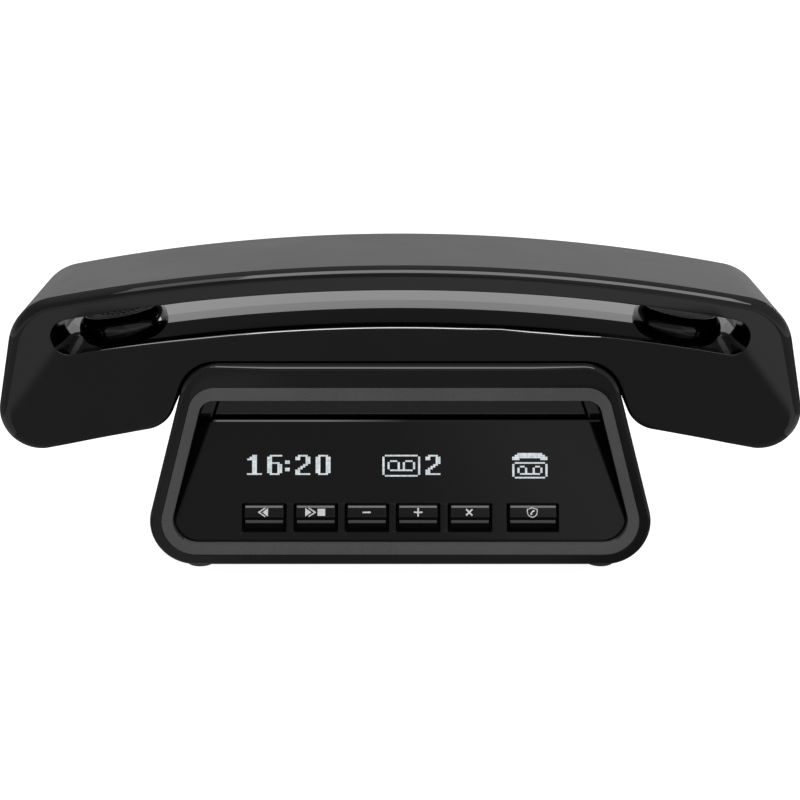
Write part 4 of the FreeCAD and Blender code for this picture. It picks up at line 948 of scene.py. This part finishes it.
# ------------------------------------------------------------------ display panel
LEAN = math.radians(22.5)
SA, CA = math.sin(LEAN), math.cos(LEAN)
PANEL = Matrix.Translation((0, -24.5, 10.4)) @ Matrix.Rotation(math.radians(67.5), 4, "X")
KEYS = [("key_back", -38.3, 11.2), ("key_play_stop", -23.8, 11.2), ("key_minus", -9.4, 11.2), ("key_plus", 5.0, 11.2),
        ("key_delete", 19.6, 11.2), ("key_call_guard", 37.3, 13.4)]


def panel_pts(w):
    sp = SLOPE * CA
    qp = math.hypot(1, sp)
    a0 = SIDE - 6.3 * Q - SLOPE * 10.4 + 0.05 - w * qp
    foot, top, rc = -0.62 + 0.3 * w, 34.35 - w, 4.2 - w
    pc = (a0 - sp * (foot + rc) - rc * qp, foot + rc)
    pt = (pc[0] + rc / qp, pc[1] + rc * sp / qp)
    pa = (pc[0], foot)
    pm = arc_mid(pc, rc, pa, pt)
    hi = (a0 - sp * top, top)
    segs = [(mir(pa), pa), (pa, pm, pt), (pt, hi), (hi, mir(hi)), (mir(hi), mir(pt)), (mir(pt), mir(pm), mir(pa))]
    return sample(segs, [8, 24, 6, 12, 6, 24])


def up(pts, z):
    return [Vector((p[0], p[1], z)) for p in pts]


bm = bmesh.new()
prof = [(0.0, -2.0), (0.0, -0.42)] + [(0.42 * (1 - math.cos(a)), -0.42 + 0.42 * math.sin(a)) for a in arc_steps(8)] + [(0.46, 0.0), (0.90, 0.0), (0.95, 0.0), (1.1, 0.0)]
o = loft(bm, [up(panel_pts(w), z) for w, z in prof])
for v in bm.verts:
    d = 34.35 - v.co.y
    if d < 0.95 and v.co.z > -0.43:
        v.co.z -= math.tan(math.radians(11.0)) * (0.92 - max(d, 0.0)) * (1 if d < 0.92 else 0)
tops, lows = [o[-1]], [o[0]]
for nm, x, w in KEYS:
    h = loft(bm, [up(rrect(x, 6.24, w + 1.30 + 2 * g, 8.12 + 2 * g, 0.5 + g, 4), z)
                  for g, z in ((0.06, 0.0), (0.03, -0.015), (0.01, -0.04), (0.0, -0.08), (0.0, -2.0))])
    tops.append(h[0])
    lows.append(h[-1])
fill(bm, *tops)
fill(bm, *lows)
window = make("front_panel", bm, "base", "panel_gloss", ("display_panel",), place=PANEL)
window.data.materials.append(MATS["window_edge_painted_highlight"])
window.data.materials.append(MATS["key_scoop"])
back_to_panel = PANEL.inverted()
for f in window.data.polygons:
    c = back_to_panel @ (Vector(f.center) / MM)
    # the facet along the top edge gets the painted highlight
    if 0.40 < 34.35 - c.y < 0.93 and c.z > -0.2:
        f.material_index = 1
    elif 1.9 < c.y < 10.9 and -1.95 < c.z < -0.005 and abs(c.x) < 48:
        f.material_index = 2    # walls of the key holes

# keys: wedge cap with a raised upper face, a step and a lower lip, on a flange
for nm, x, w in KEYS:
    t, kp = 3.55, 1.6
    prof = [(-t, -2.1), (t, -2.1), (t, kp - 0.80), (t - 0.05, kp - 0.60), (t - 0.18, kp - 0.38), (t - 0.36, kp - 0.22),
            (t - 0.62, kp - 0.112), (t - 0.67, kp - 0.100), (t - 1.15, kp - 0.006), (t - 1.20, kp), (t - 3.78, kp), (t - 3.86, kp - 0.05), (t - 3.92, kp - 0.18),
            (t - 4.02, kp - 1.22), (t - 4.56, kp - 1.32), (t - 4.60, kp - 1.30), (t - 5.40, kp - 1.13), (t - 5.45, kp - 1.14),
            (t - 5.48, kp - 1.42), (t - 5.56, kp - 1.55), (t - 5.64, kp - 1.74), (-t + 0.10, -1.62), (-t, -1.77)]
    bm = bmesh.new()
    hw = w / 2 - 0.1
    # the cap's ends are drawn in a little so that its side edges are rounded
    stations = [(-hw, 0.30), (-hw + 0.06, 0.15), (-hw + 0.16, 0.06), (-hw + 0.30, 0.0), (hw - 0.30, 0.0),
                (hw - 0.16, 0.06), (hw - 0.06, 0.15), (hw, 0.30)]

    def section_at(d):
        out = []
        for py, pz in prof:
            q = pz
            if pz > -0.9:
                q = pz - d
            yy = py if abs(py) < t - 1e-6 else math.copysign(t - d * 0.5, py) if pz > -0.9 else py
            out.append((yy, q))
        return out
    loops = [[Vector((xs, p[0], p[1])) for p in section_at(d)] for xs, d in stations]
    rings = loft(bm, loops)
    bm.faces.new(rings[0])
    bm.faces.new(rings[-1])
    for lo, hi in (((-hw - 0.9, -t - 0.9, -2.9), (hw + 0.9, t + 0.9, -2.12)), ((-1.5, -1.5, -3.6), (1.5, 1.5, -2.92))):
        tool_box(lo, hi, r=0.3)(bm)
    cap = make(nm + "_cap", bm, nm, "key_black", (nm,), place=PANEL @ Matrix.Translation((x, 6.55, 0)), sharp=50)
    # the groove under the face and the scoop at the foot are matt
    cap.data.materials.append(MATS["key_scoop"])
    cap.data.materials.append(MATS["key_step"])
    inv = PANEL.inverted()
    for f in cap.data.polygons:
        c = inv @ (Vector(f.center) / MM)
        py, pz = c.y - 6.55, c.z
        if pz < -1.0 and py > -t + 0.01 or (t - 4.57 < py < t - 3.94 or py < t - 5.43) and abs(c.x - x) < hw + 0.01:
            f.material_index = 1
        elif abs(c.x - x) > hw - 0.02 and abs(c.x - x) < hw + 0.01:
            f.material_index = 1
        elif t - 5.43 < py < t - 4.57 and pz > -0.5 and abs(c.x - x) < hw + 0.01:
            f.material_index = 2


# ------------------------------------------------------------------ marks on the keys
def slab(bm, pts, z0, z1):
    a, b = loft(bm, [up(pts, z0), up(pts, z1)])
    fill(bm, a)
    fill(bm, b)


def stroke(p, q, w):
    """Rectangle round the segment p-q."""
    dx, dy = q[0] - p[0], q[1] - p[1]
    l = math.hypot(dx, dy)
    nx, ny = -dy / l * w / 2, dx / l * w / 2
    return [(p[0] + nx, p[1] + ny), (q[0] + nx, q[1] + ny), (q[0] - nx, q[1] - ny), (p[0] - nx, p[1] - ny)]


def polyband(bm, pts, w, z0, z1, closed=False):
    """Band of even width along a polyline, mitred."""
    n = len(pts)
    left, right = [], []
    for i in range(n):
        a = pts[(i - 1) % n] if closed or i > 0 else None
        b = pts[i]
        c = pts[(i + 1) % n] if closed or i < n - 1 else None
        d1 = (Vector(b) - Vector(a)).normalized() if a is not None else None
        d2 = (Vector(c) - Vector(b)).normalized() if c is not None else None
        d = (d1 + d2).normalized() if d1 is not None and d2 is not None else (d1 or d2)
        nrm = Vector((-d.y, d.x))
        k = 1.0
        if d1 is not None and d2 is not None:
            k = 1.0 / max(0.35, abs(nrm.dot(Vector((-d1.y, d1.x)))))
        left.append(Vector(b) + nrm * w / 2 * k)
        right.append(Vector(b) - nrm * w / 2 * k)
    vs = [[bm.verts.new((p.x, p.y, z)) for p in side] for side, z in
          ((left, z0), (right, z0), (left, z1), (right, z1))]
    m = n if closed else n - 1
    for i in range(m):
        j = (i + 1) % n
        bm.faces.new((vs[2][i], vs[2][j], vs[3][j], vs[3][i]))
        bm.faces.new((vs[0][i], vs[1][i], vs[1][j], vs[0][j]))
        bm.faces.new((vs[0][i], vs[0][j], vs[2][j], vs[2][i]))
        bm.faces.new((vs[1][i], vs[3][i], vs[3][j], vs[1][j]))
    if not closed:
        bm.faces.new((vs[0][0], vs[2][0], vs[3][0], vs[1][0]))
        bm.faces.new((vs[0][-1], vs[1][-1], vs[3][-1], vs[2][-1]))


ZM0, ZM1 = 1.585, 1.612        # marks on the raised face of a key
CY = 1.10                       # middle of that face


def mark(nm, x, draw):
    bm = bmesh.new()
    draw(bm)
    make(nm + "_mark", bm, nm, "key_black", place=PANEL @ Matrix.Translation((x, 6.55, 0)), sharp=30, mat="ink_white",
         weighted=False)


def m_back(bm):
    h = 1.22
    slab(bm, [(-0.44, CY), (1.14, CY + h), (1.14, CY - h)], ZM0, ZM1)
    polyband(bm, [(0.36, CY + h), (-1.42, CY), (0.36, CY - h)], 0.34, ZM0, ZM1)


def m_play(bm):
    h = 1.18
    slab(bm, [(-2.90, CY + h), (-1.16, CY), (-2.90, CY - h)], ZM0, ZM1)
    polyband(bm, [(-1.92, CY + h), (-0.08, CY), (-1.92, CY - h)], 0.34, ZM0, ZM1)
    slab(bm, [(0.56, CY - 1.0), (2.70, CY - 1.0), (2.70, CY + 1.0), (0.56, CY + 1.0)], ZM0, ZM1)


def m_minus(bm):
    slab(bm, stroke((-1.22, CY - 0.02), (1.06, CY - 0.02), 0.42), ZM0, ZM1)


def m_plus(bm):
    a, w = 1.2, 0.22
    slab(bm, [(-a, CY - w), (-w, CY - w), (-w, CY - a), (w, CY - a), (w, CY - w), (a, CY - w), (a, CY + w), (w, CY + w),
              (w, CY + a), (-w, CY + a), (-w, CY + w), (-a, CY + w)], ZM0, ZM1)


def m_delete(bm):
    a, w = 1.22, 0.23
    pts = [(-a, -w), (-w, -w), (-w, -a), (w, -a), (w, -w), (a, -w), (a, w), (w, w), (w, a), (-w, a), (-w, w), (-a, w)]
    c = math.sqrt(0.5)
    slab(bm, [(c * (p[0] - p[1]) - 0.25, CY + c * (p[0] + p[1])) for p in pts], ZM0, ZM1)


def m_guard(bm):
    out = [(0.0, 1.30), (0.70, 1.02), (1.36, 0.86), (1.40, 0.1), (1.22, -0.62), (0.72, -1.14), (0.0, -1.42)]
    pts = out + [(-p[0], p[1]) for p in reversed(out[1:-1])]
    polyband(bm, [(p[0] - 0.24, CY + p[1]) for p in pts], 0.24, ZM0, ZM1, closed=True)
    # small handset across the shield
    ang = math.radians(52)
    ca, sa = math.cos(ang), math.sin(ang)
    body = [(-0.82, 0.02), (-0.82, -0.32), (-0.36, -0.32), (-0.30, -0.08), (0.30, -0.08), (0.36, -0.32), (0.82, -0.32),
            (0.82, 0.02), (0.52, 0.26), (-0.52, 0.26)]
    slab(bm, [(ca * p[0] - sa * p[1] - 0.24, CY + sa * p[0] + ca * p[1]) for p in body], ZM0, ZM1)


for (nm, x, w), draw in zip(KEYS, (m_back, m_play, m_minus, m_plus, m_delete, m_guard)):
    mark(nm, x, draw)


# ------------------------------------------------------------------ lit display
GLYPHS = {
    "1": ["..##..", ".###..", "####..", "..##..", "..##..", "..##..", "..##..", "..##..", "..##..", "..##..", "######"],
    "6": [".#####", "##....", "##....", "##....", "#####.", "##..##", "##..##", "##..##", "##..##", "##..##", ".####."],
    ":": ["..", "..", "..", "##", "##", "..", "..", "##", "##", "..", ".."],
    "2": [".####.", "##..##", "##..##", "....##", "....##", "...##.", "..##..", ".##...", "##....", "##....", "######"],
    "0": [".####.", "##..##", "##..##", "##..##", "##..##", "##..##", "##..##", "##..##", "##..##", "##..##", ".####."],
    "tape": [".#############.", "#.............#", "#.............#", "#..###...###..#", "#.#...#.#...#.#",
             "#.#...#.#...#.#", "#.#...#.#...#.#", "#.#...#.#...#.#", "#..#########..#", "#.............#",
             "#.............#", ".#############."],
    "phone": ["..##########..", ".############.", "##############", "###........###", "..............",
              ".############.", "#............#", "#..##....##..#", "#.#..#..#..#.#", "#.#..#..#..#.#",
              "#.#..#..#..#.#", "#..########..#", "#............#", ".############."],
}
PW, PH = 0.720, 0.520


def glyph(name, items):
    """Pixels as thin raised blocks just over the panel face, a hair apart and drawn in a little on their free sides."""
    bm = bmesh.new()
    for g, x0, y1 in items:
        on = {(r, c) for r, line in enumerate(GLYPHS[g]) for c, ch in enumerate(line) if ch == "#"}
        for r, c in sorted(on):
            left, right = (0.012 if (r, c + k) in on else 0.06 for k in (-1, 1))
            over, under = (0.008 if (r + k, c) in on else 0.04 for k in (-1, 1))
            tool_box((x0 + c * PW + left, y1 - (r + 1) * PH + under, 0.0),
                     (x0 + (c + 1) * PW - right, y1 - r * PH - over, 0.02))(bm)
    make(name, bm, "base", "display_glass", place=PANEL, mat="display_light", weighted=False)


TOP = 24.0
glyph("display_time", [("1", -43.35, TOP), ("6", -37.65, TOP), (":", -32.62, TOP), ("2", -29.70, TOP), ("0", -23.98, TOP)])
glyph("display_messages", [("tape", -5.12, TOP + 0.03), ("2", 7.06, TOP)])
glyph("display_line", [("phone", 31.56, TOP + 0.55)])


# ------------------------------------------------------------------ shelf behind the panel
def block(name, lo, hi, r, body, slot, nodes, seg=4):
    bm = bmesh.new()
    tool_box(lo, hi)(bm)
    bmesh.ops.recalc_face_normals(bm, faces=bm.faces[:])
    bmesh.ops.bevel(bm, geom=bm.edges[:], offset=r, segments=seg, profile=0.5, affect="EDGES")
    return make(name, bm, body, slot, nodes)


bm = bmesh.new()
# deck with a rounded nose that runs back underneath
sec = [(-8.15, 41.4), (-8.70, 42.30), (-8.86, 42.60), (-8.88, 42.72), (-8.82, 42.82), (-8.70, 42.88), (-8.5, 42.9),
       (-4.0, 42.9), (0.0, 42.9), (4.0, 42.9), (8.0, 42.9), (8.0, 41.4)]
xs = [-52.6, -52.5, -52.3, -30.0, 0.0, 30.0, 52.3, 52.5, 52.6]
rings = loft(bm, [[Vector((x, y, z - (0.2 if abs(x) > 52.55 else 0.06 if abs(x) > 52.4 else 0.0) * (z > 42.0))) for y, z in sec]
                  for x in xs])
bm.faces.new(rings[0])
bm.faces.new(rings[-1])
plate = make("shelf_plate", bm, "base", "satin_black", ("shelf_deck",), mat="shelf_satin_painted_glow")
plate.data.materials.append(MATS["key_scoop"])
# painted shade: the nose of the deck gets the black matt finish, standing in for the shade in the gap above the panel's
# top edge
for f in plate.data.polygons:
    if f.center.z < 0.04274 and f.center.y < -0.0084:
        f.material_index = 1


# ------------------------------------------------------------------ dial key figures on the underside
def text_mesh(s, size):
    cu = bpy.data.curves.new("t", "FONT")
    cu.body = s
    cu.size = size
    cu.align_x = "CENTER"
    cu.align_y = "CENTER"
    cu.extrude = 0.012
    ob = bpy.data.objects.new("t", cu)
    scene.collection.objects.link(ob)
    bpy.context.view_layer.update()
    me = bpy.data.meshes.new_from_object(ob.evaluated_get(bpy.context.evaluated_depsgraph_get()))
    bpy.data.objects.remove(ob)
    bpy.data.curves.remove(cu)
    return me


# text X -> -Y, text Y -> -X, facing down
DOWN = Matrix(((0, -1, 0, 0), (-1, 0, 0, 0), (0, 0, -1, 0), (0, 0, 0, 1)))
for nm, x, y in DIAL:
    bm = bmesh.new()
    ink_name = "ink_white"
    if nm.startswith("dial_key"):
        s = {"star": "*", "hash": "#"}.get(nm[9:], nm[9:])
        me = text_mesh(s, 6.4 if s == "*" else 4.6)
        bm.from_mesh(me)
        bpy.data.meshes.remove(me)
        if s == "*":
            bmesh.ops.translate(bm, vec=(0, -1.0, 0), verts=bm.verts[:])
    else:
        if nm == "menu_key":
            polyband(bm, [(-1.9, 0.7), (0.0, -0.7), (1.9, 0.7)], 0.42, -0.012, 0.012)
        else:
            ink_name = "ink_green" if nm == "talk_key" else "ink_red"
            a = math.radians(-40 if nm == "talk_key" else 0)
            ca, sa = math.cos(a), math.sin(a)
            body = [(-2.4, 0.1), (-2.4, -0.9), (-1.3, -0.9), (-1.1, -0.2), (1.1, -0.2), (1.3, -0.9), (2.4, -0.9),
                    (2.4, 0.1), (1.6, 0.75), (-1.6, 0.75)]
            slab(bm, [(ca * p[0] - sa * p[1], sa * p[0] + ca * p[1]) for p in body], -0.012, 0.012)
    place = Matrix.Translation((x, y, 62.0 - 0.004)) @ DOWN
    make(nm + "_mark", bm, nm, "dial_key_black", place=place, mat=ink_name, weighted=False)


# ------------------------------------------------------------------ studio
def emission(name, colour, strength):
    m = bpy.data.materials.new(name)
    m.use_nodes = True
    nt = m.node_tree
    for n in list(nt.nodes):
        nt.nodes.remove(n)
    out = nt.nodes.new("ShaderNodeOutputMaterial")
    em = nt.nodes.new("ShaderNodeEmission")
    em.inputs["Color"].default_value = (*colour, 1)
    em.inputs["Strength"].default_value = strength
    nt.links.new(em.outputs[0], out.inputs["Surface"])
    return m


def plane(name, lo, hi, z):
    bm = bmesh.new()
    vs = [bm.verts.new(p) for p in ((lo[0], lo[1], z), (hi[0], lo[1], z), (hi[0], hi[1], z), (lo[0], hi[1], z))]
    bm.faces.new(vs)
    me = bpy.data.meshes.new(name)
    bm.to_mesh(me)
    bm.free()
    ob = bpy.data.objects.new(name, me)
    scene.collection.objects.link(ob)
    return ob


floor = plane("studio_floor", (-6.0, -6.0), (6.0, 6.0), -0.00005)
fm = bpy.data.materials.new("studio_floor")
fm.use_nodes = True
nt = fm.node_tree
for n in list(nt.nodes):
    nt.nodes.remove(n)
out = nt.nodes.new("ShaderNodeOutputMaterial")
lp = nt.nodes.new("ShaderNodeLightPath")
# what the camera sees: pale, evenly lit, with only a breath of shadow
dif = nt.nodes.new("ShaderNodeBsdfDiffuse")
dif.inputs["Color"].default_value = (0.3, 0.3, 0.3, 1)
em = nt.nodes.new("ShaderNodeEmission")
em.inputs["Color"].default_value = (1, 1, 1, 1)
em.inputs["Strength"].default_value = 0.97
add = nt.nodes.new("ShaderNodeAddShader")
nt.links.new(dif.outputs[0], add.inputs[0])
nt.links.new(em.outputs[0], add.inputs[1])
# what the gloss picks up: a paler floor in front with a dark mat under and before the object, darker floor behind
geo = nt.nodes.new("ShaderNodeNewGeometry")
sep = nt.nodes.new("ShaderNodeSeparateXYZ")
nt.links.new(geo.outputs["Position"], sep.inputs[0])


def mathn(op, a, b=None, c=None, clamp=False):
    n = nt.nodes.new("ShaderNodeMath")
    n.operation = op
    n.use_clamp = clamp
    for i, v in enumerate((a, b, c)):
        if v is None:
            continue
        if isinstance(v, (int, float)):
            n.inputs[i].default_value = v
        else:
            nt.links.new(v, n.inputs[i])
    return n.outputs[0]


def step(v, a, b):
    r = nt.nodes.new("ShaderNodeMapRange")
    r.interpolation_type = "SMOOTHSTEP"
    r.inputs["From Min"].default_value = a
    r.inputs["From Max"].default_value = b
    nt.links.new(v, r.inputs["Value"])
    return r.outputs["Result"]


def lerp(f, u, v):
    """u where f is 0, v where f is 1."""
    d = mathn("SUBTRACT", v, u)
    return mathn("MULTIPLY_ADD", d, f, u)


ax = mathn("ABSOLUTE", sep.outputs["X"])
in_x = mathn("SUBTRACT", 1.0, step(ax, 0.141, 0.146))
in_y = step(sep.outputs["Y"], -0.372, -0.345)
mat_area = mathn("MULTIPLY", in_x, in_y)
side = step(ax, 0.205, 0.250)
base_lr = nt.nodes.new("ShaderNodeMapRange")
base_lr.inputs["From Min"].default_value = -0.16
base_lr.inputs["From Max"].default_value = 0.16
base_lr.inputs["To Min"].default_value = 0.60
base_lr.inputs["To Max"].default_value = 0.76
nt.links.new(sep.outputs["X"], base_lr.inputs["Value"])
mat_lr = nt.nodes.new("ShaderNodeMapRange")
mat_lr.inputs["From Min"].default_value = -0.10
mat_lr.inputs["From Max"].default_value = 0.10
mat_lr.inputs["To Min"].default_value = 0.28
mat_lr.inputs["To Max"].default_value = 0.25
nt.links.new(sep.outputs["X"], mat_lr.inputs["Value"])


back = step(sep.outputs["Y"], -0.01, 0.05)
val = lerp(side, base_lr.outputs["Result"], 0.33)
near = step(sep.outputs["Y"], -0.265, -0.235)
near_r = step(sep.outputs["Y"], -0.225, -0.195)
near = lerp(step(sep.outputs["X"], -0.02, 0.02), near, near_r)
patch = mathn("MULTIPLY", mathn("MULTIPLY", step(ax, 0.040, 0.062), mathn("SUBTRACT", 1.0, step(ax, 0.074, 0.082))), near)
sgn_x = mathn("SUBTRACT", 1.0, mathn("MULTIPLY", step(sep.outputs["X"], -0.02, 0.02), 2.0))
mat_val = mathn("MULTIPLY_ADD", mathn("MULTIPLY", patch, sgn_x), 0.11, mat_lr.outputs["Result"])
val = lerp(mat_area, val, mat_val)
val = lerp(back, val, 0.20)
em2 = nt.nodes.new("ShaderNodeEmission")
nt.links.new(val, em2.inputs["Strength"])
em2.inputs["Color"].default_value = (1, 1, 1, 1)
mix = nt.nodes.new("ShaderNodeMixShader")
nt.links.new(lp.outputs["Is Glossy Ray"], mix.inputs[0])
nt.links.new(add.outputs[0], mix.inputs[1])
nt.links.new(em2.outputs[0], mix.inputs[2])
nt.links.new(mix.outputs[0], out.inputs["Surface"])
floor.data.materials.append(fm)

# sky of the studio
world = bpy.data.worlds.new("studio")
world.use_nodes = True
scene.world = world
nt = world.node_tree
for n in list(nt.nodes):
    nt.nodes.remove(n)
out = nt.nodes.new("ShaderNodeOutputWorld")
tc = nt.nodes.new("ShaderNodeTexCoord")
sep = nt.nodes.new("ShaderNodeSeparateXYZ")
nt.links.new(tc.outputs["Generated"], sep.inputs[0])
lp = nt.nodes.new("ShaderNodeLightPath")
el = mathn("ARCSINE", sep.outputs["Z"])
el = mathn("DIVIDE", el, math.pi / 2)            # -1 .. 1


def ramp(v, stops):
    r = nt.nodes.new("ShaderNodeValToRGB")
    r.color_ramp.interpolation = "LINEAR"
    els = r.color_ramp.elements
    els[0].position, els[0].color = stops[0][0], (stops[0][1],) * 3 + (1,)
    els[1].position, els[1].color = stops[-1][0], (stops[-1][1],) * 3 + (1,)
    for p, c in stops[1:-1]:
        e = els.new(p)
        e.color = (c, c, c, 1)
    nt.links.new(v, r.inputs["Fac"])
    return r.outputs["Color"]


def deg(d):
    return max(0.0, d / 90.0)


front_l = ramp(el, [(0.0, 0.66), (deg(4), 0.60), (deg(10), 0.32), (deg(20), 0.26), (deg(40), 0.26), (deg(60), 0.50),
                    (deg(76), 0.62), (1.0, 0.66)])
front_r = ramp(el, [(0.0, 0.80), (deg(4), 0.74), (deg(12), 0.46), (deg(24), 0.46), (deg(40), 0.46), (deg(60), 0.50),
                    (deg(76), 0.62), (1.0, 0.66)])
back_v = ramp(el, [(0.0, 0.69), (deg(22), 0.69), (deg(32), 0.50), (deg(44), 0.36), (deg(58), 0.40), (deg(70), 0.60), (1.0, 0.66)])
# soft slanted edge between the left and right front regions
tilt = mathn("MULTIPLY_ADD", sep.outputs["Z"], 0.62, sep.outputs["X"])
rmix = step(tilt, 0.27, 0.38)


def mixc(f, a, b):
    m = nt.nodes.new("ShaderNodeMix")
    m.data_type = "RGBA"
    nt.links.new(f, m.inputs["Factor"])
    nt.links.new(a, m.inputs[6])
    nt.links.new(b, m.inputs[7])
    return m.outputs[2]


front = mixc(rmix, front_l, front_r)
sky = mixc(step(sep.outputs["Y"], -0.25, 0.25), front, back_v)
bg_gloss = nt.nodes.new("ShaderNodeBackground")
nt.links.new(sky, bg_gloss.inputs["Color"])
bg_white = nt.nodes.new("ShaderNodeBackground")
bg_white.inputs["Color"].default_value = (1, 1, 1, 1)
bg_white.inputs["Strength"].default_value = 1.0
bg_dif = nt.nodes.new("ShaderNodeBackground")
bg_dif.inputs["Color"].default_value = (1, 1, 1, 1)
bg_dif.inputs["Strength"].default_value = 0.42
m1 = nt.nodes.new("ShaderNodeMixShader")
nt.links.new(lp.outputs["Is Glossy Ray"], m1.inputs[0])
nt.links.new(bg_dif.outputs[0], m1.inputs[1])
nt.links.new(bg_gloss.outputs[0], m1.inputs[2])
m2 = nt.nodes.new("ShaderNodeMixShader")
nt.links.new(lp.outputs["Is Camera Ray"], m2.inputs[0])
nt.links.new(m1.outputs[0], m2.inputs[1])
nt.links.new(bg_white.outputs[0], m2.inputs[2])
nt.links.new(m2.outputs[0], out.inputs["Surface"])


def area(name, loc, aim, size, watts, size_y=None, glossy=True, diffuse=True):
    li = bpy.data.lights.new(name, "AREA")
    li.shape = "RECTANGLE" if size_y else "SQUARE"
    li.size = size
    if size_y:
        li.size_y = size_y
    li.energy = watts
    ob = bpy.data.objects.new(name, li)
    ob.location = loc
    ob.rotation_euler = (Vector(aim) - Vector(loc)).to_track_quat("-Z", "Y").to_euler()
    ob.visible_camera = False
    ob.visible_glossy = glossy
    ob.visible_diffuse = diffuse
    scene.collection.objects.link(ob)
    return ob


area("overhead_softbox", (0.0, 0.05, 0.80), (0.0, 0.0, 0.06), 0.9, 2.7, 0.5, glossy=False)
# long strip in front and above: draws the thin lines along the rounded edges
E1 = math.radians(53)
D1 = 0.9
area("front_strip", (0.12, -D1 * math.cos(E1), 0.06 + D1 * math.sin(E1)), (0.12, 0.0, 0.06), 0.62, 2.6, 0.314)
area("front_strip_left", (-0.265, -D1 * math.cos(E1), 0.06 + D1 * math.sin(E1)), (-0.265, 0.0, 0.06), 0.15, 0.24, 0.314)
area("right_strip", (0.62, 0.30, 0.30), (0.08, 0.0, 0.07), 0.18, 2.0, 0.45)

scene.view_settings.view_transform = "Standard"
scene.view_settings.look = "None"
scene.view_settings.exposure = 0.0
scene.view_settings.gamma = 1.0
